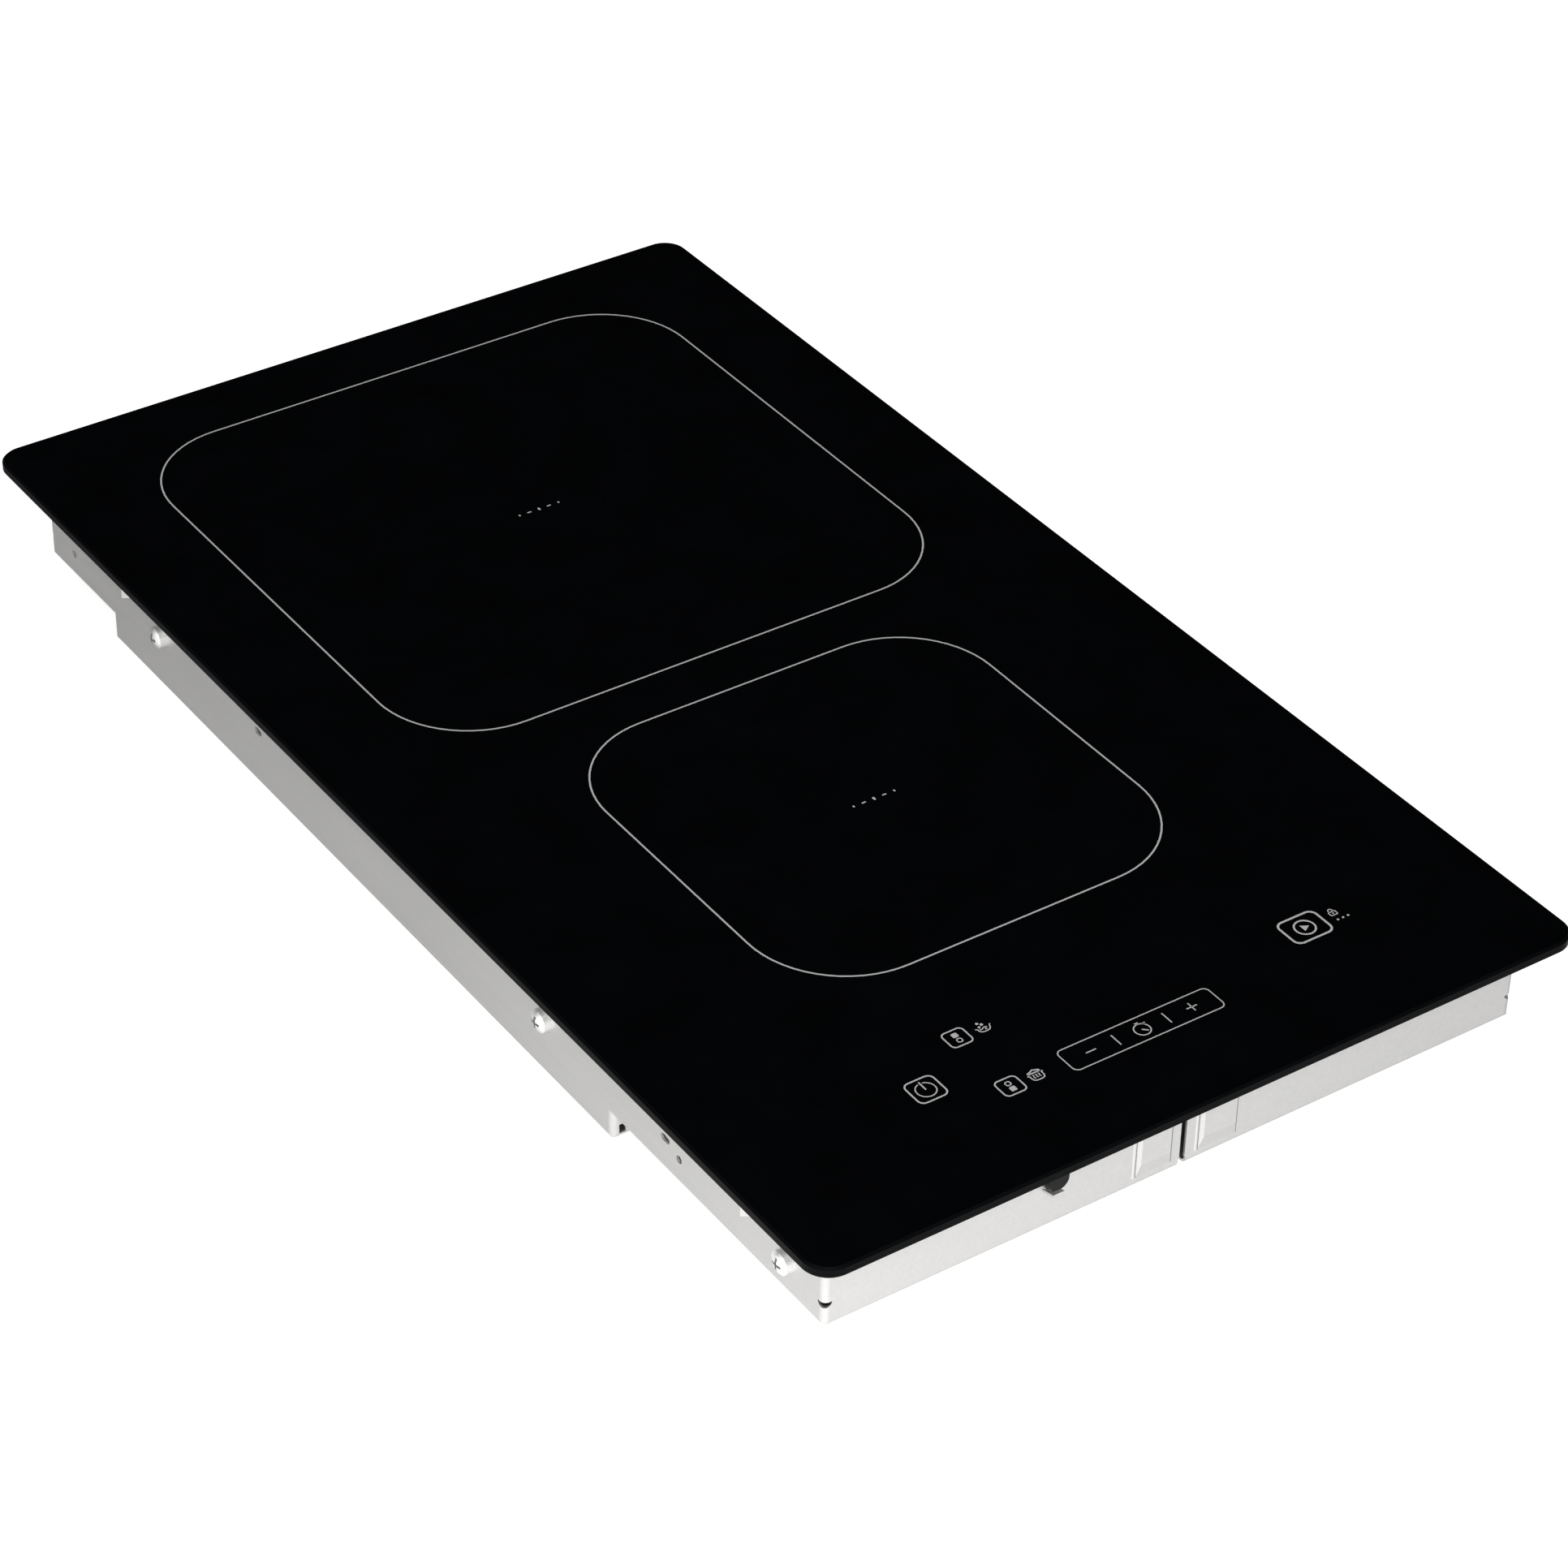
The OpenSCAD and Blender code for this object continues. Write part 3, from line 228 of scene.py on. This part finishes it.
def zinc_steel(name):
    """Zinc-coated sheet: fine even speckle and faint rolling streaks."""
    f = Finish(name, Metallic=0.8, IOR=1.8)
    speckle = f.noise(2600, 3, 0.75)
    grain = f.noise(900, 2, 0.6)
    rolled = f.noise(420, 2, 0.5, stretch=(1.0, 0.03, 1.0))
    tone = f.maths("ADD", f.maths("MULTIPLY", speckle, 0.5),
                   f.maths("ADD", f.maths("MULTIPLY", grain, 0.3), f.maths("MULTIPLY", rolled, 0.2)))
    f.colour(f.ramp(tone, (0.3, (0.525, 0.52, 0.51)), (0.7, (0.635, 0.63, 0.62))))
    f.roughness(f.remap(tone, 0.42, 0.56, 0.3, 0.7))
    f.bump((speckle, 0.000006, 0.25), (f.noise(26, 4, 0.6), 0.00006, 0.05))
    return f.material


def screw_steel(name):
    f = Finish(name, Metallic=0.95, IOR=1.8)
    turned = f.noise(900, 2, 0.5, stretch=(0.1, 1.0, 1.0))
    f.colour(f.ramp(f.noise(160), (0.3, (0.92, 0.92, 0.91)), (0.7, (0.97, 0.97, 0.97))))
    f.roughness(f.remap(turned, 0.24, 0.32))
    f.bump((turned, 0.000003, 0.2))
    return f.material


def aluminium(name):
    f = Finish(name, Metallic=1.0)
    drawn = f.noise(900, 3, 0.6, stretch=(1.0, 0.02, 1.0))
    f.colour(f.ramp(drawn, (0.3, (0.74, 0.745, 0.75)), (0.7, (0.85, 0.855, 0.86))))
    f.roughness(f.remap(drawn, 0.24, 0.40))
    f.bump((drawn, 0.00001, 0.4))
    return f.material


def spring_steel(name):
    f = Finish(name, Metallic=1.0)
    drawn = f.noise(1500, 3, 0.6)
    f.colour(f.ramp(drawn, (0.3, (0.52, 0.52, 0.53)), (0.7, (0.66, 0.66, 0.68))))
    f.roughness(f.remap(drawn, 0.22, 0.38))
    f.bump((drawn, 0.00001, 0.3))
    return f.material


def brass(name):
    f = Finish(name, Metallic=1.0)
    worn = f.noise(700, 3, 0.6)
    f.colour(f.ramp(worn, (0.3, (0.72, 0.58, 0.28)), (0.7, (0.86, 0.72, 0.38))))
    f.roughness(f.remap(worn, 0.2, 0.36))
    f.bump((worn, 0.00001, 0.3))
    return f.material


def moulded(name, colour, rough=(0.42, 0.6), texture=1100, amount=0.18):
    """Moulded plastic with a fine spark-eroded grain."""
    f = Finish(name, IOR=1.49)
    f.colour(tinted(f, colour, amount, 70))
    grain = f.noise(texture, 3, 0.65)
    f.roughness(f.remap(grain, *rough))
    f.bump((grain, 0.00003, 0.4), (f.noise(35, 2), 0.0002, 0.05))
    return f.material


def rubber(name, colour, rough=(0.5, 0.72), **fixed):
    f = Finish(name, IOR=1.48, **fixed)
    bloom = f.noise(120, 4, 0.6)
    f.colour(f.ramp(bloom, (0.3, shade(colour, 0.75)), (0.75, shade(colour, 1.3))))
    f.roughness(f.remap(bloom, *rough))
    f.bump((f.noise(1400, 3, 0.6), 0.00003, 0.35))
    return f.material


def foam(name, colour):
    f = Finish(name, IOR=1.4)
    pores_and_pit_shade = f.cells(1700)
    # The colour is darker at the bottom of each pore, where the bump sinks it: painted shade in the pits.
    f.colour(f.ramp(pores_and_pit_shade, (0.0, shade(colour, 0.4)), (0.5, shade(colour, 1.2))))
    f.roughness(f.remap(pores_and_pit_shade, 0.95, 0.75))
    f.bump((pores_and_pit_shade, 0.0003, 0.7))
    return f.material


def circuit_board(name):
    """Solder mask over copper tracks, with pads and a faint weave."""
    f = Finish(name, IOR=1.5, Coat_Weight=0.25, Coat_Roughness=0.2)
    tracks = f.cells(210, feature="DISTANCE_TO_EDGE", stretch=(1.0, 0.55, 0.02))
    near = f.remap(tracks, 1.0, 0.0, 0.03, 0.05)
    mask = f.ramp(near, (0.4, (0.012, 0.085, 0.045)), (0.6, (0.03, 0.17, 0.085)))
    pads = f.cells(330, stretch=(1.0, 1.0, 0.02))
    f.colour(f.blend(f.remap(pads, 1.0, 0.0, 0.10, 0.13), mask, (0.55, 0.55, 0.52)))
    weave = f.noise(1500, 2, 0.5)
    f.roughness(f.remap(weave, 0.28, 0.42))
    f.bump((near, 0.00004, 0.5), (weave, 0.00001, 0.3))
    return f.material


def litz(name):
    """Bundled enamelled strands, twisted on the skew round each turn."""
    f = Finish(name, Metallic=0.85)
    strands = f.waves(380, "DIAGONAL", 1.6, detail=2)
    fine = f.noise(1500, 3, 0.6)
    # The copper is painted much darker in the grooves between the strands, where the bump sinks: painted
    # shade between strands.
    copper_and_groove_shade = f.ramp(strands, (0.15, (0.20, 0.075, 0.03)), (0.6, (0.66, 0.30, 0.13)))
    f.colour(f.blend(fine, copper_and_groove_shade, (0.50, 0.22, 0.09)))
    f.roughness(f.remap(strands, 0.45, 0.24))
    f.bump((strands, 0.0003, 0.7))
    return f.material


def copper_wire(name):
    f = Finish(name, Metallic=0.9)
    coat = f.noise(500, 3, 0.6)
    f.colour(f.ramp(coat, (0.3, (0.46, 0.17, 0.06)), (0.7, (0.68, 0.30, 0.12))))
    f.roughness(f.remap(coat, 0.2, 0.35))
    f.bump((f.waves(900, "Z"), 0.0001, 0.3))
    return f.material


def sintered(name, colour, rough=(0.7, 0.9)):
    """Pressed and fired powder: matt, slightly mottled."""
    f = Finish(name, IOR=1.55)
    powder = f.noise(1900, 4, 0.7)
    f.colour(f.ramp(powder, (0.3, shade(colour, 0.8)), (0.7, shade(colour, 1.2))))
    f.roughness(f.remap(powder, *rough))
    f.bump((powder, 0.00004, 0.5))
    return f.material


def mica(name):
    f = Finish(name, IOR=1.56, Sheen_Weight=0.1)
    flakes = f.cells(420, stretch=(1.0, 0.7, 1.0))
    f.colour(f.ramp(flakes, (0.1, (0.60, 0.57, 0.49)), (0.6, (0.78, 0.75, 0.68))))
    f.roughness(f.remap(flakes, 0.45, 0.75))
    f.bump((flakes, 0.00006, 0.4))
    return f.material


def ribbon(name):
    f = Finish(name, IOR=1.5)
    wires_and_groove_shade = f.waves(250, "X")
    # The troughs between the wires are painted darker, where the bump sinks: painted shade between the
    # wires.
    f.colour(f.ramp(wires_and_groove_shade, (0.2, (0.33, 0.34, 0.36)), (0.7, (0.56, 0.57, 0.60))))
    f.roughness(f.remap(f.noise(600), 0.4, 0.55))
    f.bump((wires_and_groove_shade, 0.0003, 0.8))
    return f.material


FINISHES = {
    "black_glass": black_glass("black_glass"),
    "print_enamel": enamel("print_enamel"),
    "seal_foam": foam("seal_foam", (0.05, 0.05, 0.053)),
    "silicone": rubber("silicone", (0.03, 0.03, 0.032)),
    "zinc_steel": zinc_steel("zinc_steel"),
    "screw_steel": screw_steel("screw_steel"),
    "black_rubber": rubber("black_rubber", (0.004, 0.004, 0.0045), (0.22, 0.34), Specular_IOR_Level=0.12),
    "black_plastic": moulded("black_plastic", (0.035, 0.035, 0.038)),
    "grey_plastic": moulded("grey_plastic", (0.09, 0.09, 0.1)),
    "circuit_board": circuit_board("circuit_board"),
    "aluminium": aluminium("aluminium"),
    "epoxy_black": moulded("epoxy_black", (0.02, 0.02, 0.022), (0.3, 0.5), 1800),
    "capacitor_red": moulded("capacitor_red", (0.42, 0.06, 0.035), (0.2, 0.34), 500),
    "capacitor_blue": moulded("capacitor_blue", (0.05, 0.1, 0.32), (0.2, 0.34), 500),
    "sleeve_black": moulded("sleeve_black", (0.03, 0.03, 0.04), (0.16, 0.3), 350),
    "copper_wire": copper_wire("copper_wire"),
    "litz_copper": litz("litz_copper"),
    "white_ceramic": sintered("white_ceramic", (0.74, 0.73, 0.70), (0.45, 0.65)),
    "ferrite": sintered("ferrite", (0.045, 0.045, 0.05)),
    "white_plastic": moulded("white_plastic", (0.68, 0.66, 0.60), amount=0.05),
    "heat_plastic": moulded("heat_plastic", (0.60, 0.56, 0.46), amount=0.07),
    "mica_sheet": mica("mica_sheet"),
    "spring_steel": spring_steel("spring_steel"),
    "lead_silicone": rubber("lead_silicone", (0.55, 0.54, 0.5)),
    "contact_foam": foam("contact_foam", (0.04, 0.04, 0.043)),
    "display_red": moulded("display_red", (0.12, 0.012, 0.012), (0.08, 0.16), 300),
    "ribbon_grey": ribbon("ribbon_grey"),
    "brass_screws": brass("brass_screws"),
}

for part in frame["record"]["subparts"]:
    shown = nodes[part["node"]]
    shown.data.materials.clear()
    shown.data.materials.append(FINISHES[part["material_slot"]])

# ---------------------------------------------------------------- printed symbols

LINE = 0.42
ROUND_STEPS = 28
REAR_ZONE_Y, FRONT_ZONE_Y = 121.5, -79.5
REAR_KEYS_Y, FRONT_KEYS_Y = -190.8, -217.4


def arc(centre, radius, start, end, steps=None):
    steps = steps or max(6, int(abs(end - start) / 360 * ROUND_STEPS * 2))
    return [(centre[0] + radius * math.cos(math.radians(start + (end - start) * i / steps)),
             centre[1] + radius * math.sin(math.radians(start + (end - start) * i / steps)))
            for i in range(steps + 1)]


def rounded(centre, size, radius):
    """Corner-rounded rectangle as a closed outline."""
    w, h = size[0] / 2 - radius, size[1] / 2 - radius
    outline = []
    for sx, sy, start in ((1, 1, 0), (-1, 1, 90), (-1, -1, 180), (1, -1, 270)):
        outline += arc((centre[0] + sx * w, centre[1] + sy * h), radius, start, start + 90, 6)
    return outline


def smooth(points, rounds=3):
    """Corner cutting, to turn a few points into a soft line with the same ends."""
    for _ in range(rounds):
        cut = [points[0]]
        for (ax, ay), (bx, by) in zip(points, points[1:]):
            cut.append((ax * 0.75 + bx * 0.25, ay * 0.75 + by * 0.25))
            cut.append((ax * 0.25 + bx * 0.75, ay * 0.25 + by * 0.75))
        points = cut + [points[-1]]
    return points


class Print:
    """Flat enamel shapes, all of one print thickness, gathered into one mesh."""

    def __init__(self):
        self.mesh = bmesh.new()

    def prism(self, outline):
        """Solid with this outline."""
        low, high = [], []
        for x, y in outline:
            low.append(self.mesh.verts.new((x * MM, y * MM, TOP_Z)))
            high.append(self.mesh.verts.new((x * MM, y * MM, TOP_Z + PRINT_T)))
        self.mesh.faces.new(high)
        self.mesh.faces.new(low[::-1])
        for i in range(len(outline)):
            j = (i + 1) % len(outline)
            self.mesh.faces.new((low[i], low[j], high[j], high[i]))

    def fill(self, outline):
        area = sum(ax * by - bx * ay for (ax, ay), (bx, by) in zip(outline, outline[1:] + outline[:1]))
        self.prism(outline if area > 0 else outline[::-1])

    def disc(self, centre, radius):
        self.fill(arc(centre, radius, 0, 360, ROUND_STEPS)[:-1])

    def band(self, left, right, closed):
        """Solid strip between two edges with the same number of points."""
        rows = []
        for (ax, ay), (bx, by) in zip(left, right):
            ring = ((ax, ay, 0), (bx, by, 0), (bx, by, PRINT_T), (ax, ay, PRINT_T))
            rows.append([self.mesh.verts.new((x * MM, y * MM, TOP_Z + rise)) for x, y, rise in ring])
        last = len(rows) if closed else len(rows) - 1
        for i in range(last):
            a, b = rows[i], rows[(i + 1) % len(rows)]
            for k in range(4):
                n = (k + 1) % 4
                self.mesh.faces.new((a[k], a[n], b[n], b[k]))
        if not closed:
            self.mesh.faces.new(rows[0][::-1])
            self.mesh.faces.new(rows[-1])

    def line(self, points, width=LINE, closed=False):
        """A stroke of even width along the points."""
        if closed and points[0] == points[-1]:
            points = points[:-1]
        points = [p for i, p in enumerate(points) if i == 0 or math.dist(p, points[i - 1]) > 1e-5]
        count, left, right = len(points), [], []
        for i, (x, y) in enumerate(points):
            before = points[i - 1] if closed or i else None
            after = points[(i + 1) % count] if closed or i < count - 1 else None
            into = Vector((x - before[0], y - before[1])).normalized() if before else None
            out = Vector((after[0] - x, after[1] - y)).normalized() if after else None
            along = (into + out).normalized() if into and out else into or out
            side = Vector((-along.y, along.x))
            reach = width / 2
            if into and out:
                reach /= max(0.5, side.dot(Vector((-into.y, into.x))))
            left.append((x + side.x * reach, y + side.y * reach))
            right.append((x - side.x * reach, y - side.y * reach))
        self.band(left, right, closed)

    def bar(self, a, b, width=LINE):
        """A straight stroke with round ends."""
        along = Vector((b[0] - a[0], b[1] - a[1]))
        angle = math.degrees(math.atan2(along.y, along.x))
        near_end = arc(a, width / 2, angle + 90, angle + 270, 8)
        far_end = arc(b, width / 2, angle - 90, angle + 90, 8)
        self.fill(far_end + near_end)

    def piece(self, name):
        bmesh.ops.remove_doubles(self.mesh, verts=self.mesh.verts, dist=1e-8)
        bmesh.ops.recalc_face_normals(self.mesh, faces=self.mesh.faces)
        data = bpy.data.meshes.new(name)
        self.mesh.to_mesh(data)
        self.mesh.free()
        made = bpy.data.objects.new(name, data)
        bpy.context.scene.collection.objects.link(made)
        data.materials.append(FINISHES["print_enamel"])
        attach(made, "root")
        return made


def zone_centre(name, y):
    """Row of small dashes at the middle of a zone."""
    ink = Print()
    for s in (-1, 1):
        ink.bar((s * 7.85, y - 0.2), (s * 7.85, y + 0.2), 0.62)
        ink.bar((s * 3.95 - 0.55, y), (s * 3.95 + 0.55, y), 0.56)
    ink.bar((0, y - 0.35), (0, y + 0.35), 0.85)
    return ink.piece(name)


def power_symbol():
    x, y = -69.9, -205.2
    ink = Print()
    ink.line(arc((x, y), 3.2, 104, 436), 0.4)
    ink.bar((x, y + 0.25), (x, y + 3.75), 0.5)
    return ink.piece("symbol_power")


def zone_choice(name, y, upper_full):
    """Two small squares one above the other; the chosen zone's square is solid."""
    x = -48.2
    ink = Print()
    full, hollow = (y + 1.28, y - 1.32) if upper_full else (y - 1.32, y + 1.28)
    ink.fill(rounded((x, full), (2.05, 2.05), 0.45))
    ink.line(rounded((x, hollow), (1.65, 1.65), 0.55), 0.38, closed=True)
    return ink.piece(name)


def boiling_pot():
    x, y = -38.75, -191.0
    ink = Print()
    pot = [(-2.8, 0.25), (-2.15, -0.1), (-2.15, -0.95), (-1.5, -1.9),
           (1.1, -1.9), (1.9, -1.0), (2.15, -0.05), (2.65, 0.4)]
    ink.line([(x + a, y + b) for a, b in smooth(pot)])
    wave = [(-1.6, -0.35), (-0.9, -0.75), (-0.2, -0.2), (0.45, -0.05), (1.15, -0.35)]
    ink.line([(x + a, y + b) for a, b in smooth(wave)], 0.36)
    for a, b, r in ((-0.75, 2.3, 0.5), (0.2, 1.3, 0.56), (-1.1, 0.6, 0.45), (0.35, -0.95, 0.36)):
        ink.disc((x + a, y + b), r)
    return ink.piece("symbol_boiling_pot")


def steaming_pot():
    x, y = -38.8, -217.6
    ink = Print()
    pot = [(-2.8, 0.55), (-2.15, 0.95), (-2.2, -0.9), (-1.6, -2.0),
           (1.6, -2.0), (2.2, -0.9), (2.15, 0.95), (2.8, 0.75)]
    ink.line([(x + a, y + b) for a, b in smooth(pot)])
    lid = [(-2.15, 1.3), (-2.0, 1.95), (-1.2, 2.0), (-0.6, 2.25),
           (0.2, 2.75), (0.8, 2.3), (1.6, 2.15), (2.2, 1.5)]
    ink.line([(x + a, y + b) for a, b in smooth(lid)], 0.5)
    ink.bar((x - 1.8, y + 1.35), (x + 1.8, y + 1.35), 0.5)
    for a in (-1.05, -0.05, 0.95):
        wisp = [(a - 0.15, 0.6), (a + 0.25, 0.15), (a - 0.25, -0.35), (a + 0.15, -0.95)]
        ink.line([(x + p, y + q) for p, q in smooth(wisp)], 0.34)
    return ink.piece("symbol_steaming_pot")


def slider_symbols():
    """Minus, two dividing strokes and plus along the slider, with a timer in the middle."""
    y = FRONT_KEYS_Y
    ink = Print()
    ink.bar((-20.3, y), (-16.9, y), 0.44)
    for x in (-9.25, 9.8):
        ink.bar((x, y - 2.4), (x, y + 2.4), 0.44)
    ink.bar((17.5, y), (21.1, y), 0.44)
    ink.bar((19.3, y - 1.8), (19.3, y + 1.8), 0.44)
    cx, cy = 0.35, y - 0.35
    ink.line(arc((cx, cy), 2.65, 62, 448, 40)[:-3])
    ink.fill([(cx - 0.7, cy + 3.45), (cx + 0.8, cy + 3.45), (cx + 0.05, cy + 2.45)])
    ink.bar((cx + 1.35, cy + 2.45), (cx + 2.1, cy + 1.75), 0.4)
    ink.bar((cx + 1.75, cy + 2.2), (cx + 2.5, cy + 2.35), 0.4)
    ink.bar((cx, cy), (cx + 1.3, cy - 1.2), 0.5)
    return ink.piece("symbols_slider")


def start_symbol():
    """Plain play sign in a ring."""
    x, y = 72.5, -205.9
    ink = Print()
    ink.line(arc((x, y), 3.4, 0, 360, 48), 0.62, closed=True)
    ink.fill([(x - 0.95, y - 1.5), (x + 1.65, y), (x - 0.95, y + 1.5)])
    return ink.piece("symbol_start")


def lock_symbol():
    """Padlock with three dots under it."""
    x, y = 84.3, -204.5
    ink = Print()
    ink.line(rounded((x, y - 0.65), (2.5, 1.75), 0.3), 0.36, closed=True)
    ink.line([(x - 0.8, y + 0.2)] + arc((x, y + 0.7), 0.8, 180, 0, 12) + [(x + 0.8, y + 0.2)], 0.34)
    ink.disc((x, y - 0.65), 0.3)
    for i in range(3):
        ink.disc((x - 0.7 + i * 2.0, y - 3.9), 0.42)
    return ink.piece("symbol_lock")


zone_centre("zone_mark_rear", REAR_ZONE_Y)
zone_centre("zone_mark_front", FRONT_ZONE_Y)
power_symbol()
zone_choice("symbol_rear_zone", REAR_KEYS_Y, True)
zone_choice("symbol_front_zone", FRONT_KEYS_Y, False)
boiling_pot()
steaming_pot()
slider_symbols()
start_symbol()
lock_symbol()

# ---------------------------------------------------------------- floor, light and camera

FLOOR_RADIUS = 40
FLOOR_DROP = 0.0004
FLOOR_GLOW = 1.6
FLOOR_CLEAR = 0.45
WORLD_GLOW = 2.25
CAMERA_ANGLES = (-34.9519, 36.2167, 1.1629)
CAMERA_PLACE = (-0.70799, -1.04246, 0.92683)
CAMERA_LENS = 107.435


class StageNodes(Nodes):
    """Node tree of the floor or the world."""

    def levels(self, source, low, high, *stops):
        """Grey level along a value that runs from low to high."""
        spread = self.remap(source, 0.0, 1.0, low, high)
        return self.ramp(spread, *(((place - low) / (high - low), grey(level)) for place, level in stops))

    def seen(self, others, camera):
        """One value for the camera's own rays and another for all other rays."""
        made = self.node("ShaderNodeMix", data_type="FLOAT")
        self.link(self.node("ShaderNodeLightPath").outputs["Is Camera Ray"], made.inputs["Factor"])
        self.feed(others, made.inputs[2])
        self.feed(camera, made.inputs[3])
        return made.outputs[0]


def floor():
    """Large pale disc under the object, like a light table: plain white to the camera, while the light that
    it sends up is dim behind and bright in front. It passes nearly half of all other rays, and is clear from
    below."""
    mesh = bmesh.new()
    bmesh.ops.create_circle(mesh, cap_ends=True, radius=FLOOR_RADIUS, segments=64)
    data = bpy.data.meshes.new("studio_floor")
    mesh.to_mesh(data)
    mesh.free()
    made = bpy.data.objects.new("studio_floor", data)
    made.location.z = -FLOOR_DROP
    bpy.context.scene.collection.objects.link(made)
    material = bpy.data.materials.new("studio_floor")
    material.use_nodes = True
    n = StageNodes(material.node_tree)
    shader = n.tree.nodes["Principled BSDF"]
    shader.inputs["Roughness"].default_value = 1.0
    shader.inputs["Specular IOR Level"].default_value = 0.0
    shader.inputs["Emission Color"].default_value = (1, 1, 1, 1)
    place = n.split("Object")
    backward = n.maths("ADD", place["Y"], n.maths("MULTIPLY", place["X"], 0.6))
    glow = n.levels(n.maths("MULTIPLY", backward, -1.0), -0.4, 0.6,
                    (-0.4, 0.09), (-0.115, 0.16), (0.085, 0.33), (0.19, 0.60), (0.26, 0.78), (0.32, 1.0))
    n.link(n.seen(0.25, 0.42), shader.inputs["Base Color"])
    n.link(n.seen(n.maths("MULTIPLY", glow, FLOOR_GLOW), 0.80), shader.inputs["Emission Strength"])
    clear = n.node("ShaderNodeBsdfTransparent")
    mix = n.node("ShaderNodeMixShader")
    below = n.node("ShaderNodeNewGeometry").outputs["Backfacing"]
    n.link(n.maths("MAXIMUM", below, n.seen(FLOOR_CLEAR, 0.0)), mix.inputs[0])
    n.link(shader.outputs[0], mix.inputs[1])
    n.link(clear.outputs[0], mix.inputs[2])
    n.link(mix.outputs[0], n.tree.nodes["Material Output"].inputs["Surface"])
    data.materials.append(material)


def area_light(name, place, aim, size, power):
    data = bpy.data.lights.new(name, "AREA")
    data.shape = "RECTANGLE"
    data.size, data.size_y = size
    data.energy = power
    made = bpy.data.objects.new(name, data)
    made.location = place
    made.rotation_euler = (Vector(aim) - Vector(place)).to_track_quat("-Z", "Y").to_euler()
    made.visible_camera = False
    bpy.context.scene.collection.objects.link(made)


def world():
    """White for the camera. For light, bright low in front and most of all at the front left, and dim behind
    and overhead."""
    made = bpy.data.worlds.new("studio")
    made.use_nodes = True
    n = StageNodes(made.node_tree)
    way = n.split("Generated")
    band = n.levels(way["Z"], -1.0, 1.0, (-1.0, 1.0), (0.0, 0.75), (0.12, 0.6), (0.40, 0.03), (1.0, 0.015))
    facing = n.maths("ADD", n.maths("MULTIPLY", way["Y"], -0.75), n.maths("MULTIPLY", way["X"], -0.66))
    front = n.levels(facing, -1.0, 1.0, (-0.8, 0.08), (-0.2, 0.08), (0.05, 0.30), (0.3, 0.55), (0.75, 1.0))
    light = n.maths("MULTIPLY", n.maths("MULTIPLY", band, front), WORLD_GLOW)
    n.link(n.seen(light, 1.0), n.tree.nodes["Background"].inputs["Color"])
    bpy.context.scene.world = made


def camera():
    azimuth, elevation, roll = (math.radians(a) for a in CAMERA_ANGLES)
    level = math.cos(elevation)
    back = Vector((math.sin(azimuth) * level, -math.cos(azimuth) * level, math.sin(elevation)))
    right = Vector((math.cos(azimuth), math.sin(azimuth), 0))
    up = back.cross(right)
    tilted = right * math.cos(roll) + up * math.sin(roll)
    data = bpy.data.cameras.new("camera")
    data.sensor_width = 36
    data.lens = CAMERA_LENS
    data.clip_start, data.clip_end = 0.01, 200
    made = bpy.data.objects.new("camera", data)
    turn = Matrix((tilted, back.cross(tilted), back)).transposed().to_4x4()
    made.matrix_world = Matrix.Translation(CAMERA_PLACE) @ turn
    bpy.context.scene.collection.objects.link(made)
    bpy.context.scene.camera = made


floor()
world()
camera()
middle = (0, 0, 0.03)
area_light("key", (-0.9, -2.3, 2.2), middle, (1.6, 1.2), 62)
area_light("left_fill", (-2.6, -0.9, 1.6), middle, (1.4, 1.0), 36)
area_light("rear_fill", (1.2, 1.4, 2.9), middle, (1.2, 1.2), 26)

scene = bpy.context.scene
scene.view_settings.view_transform = "Standard"
scene.view_settings.look = "None"
scene.view_settings.exposure = 0.0
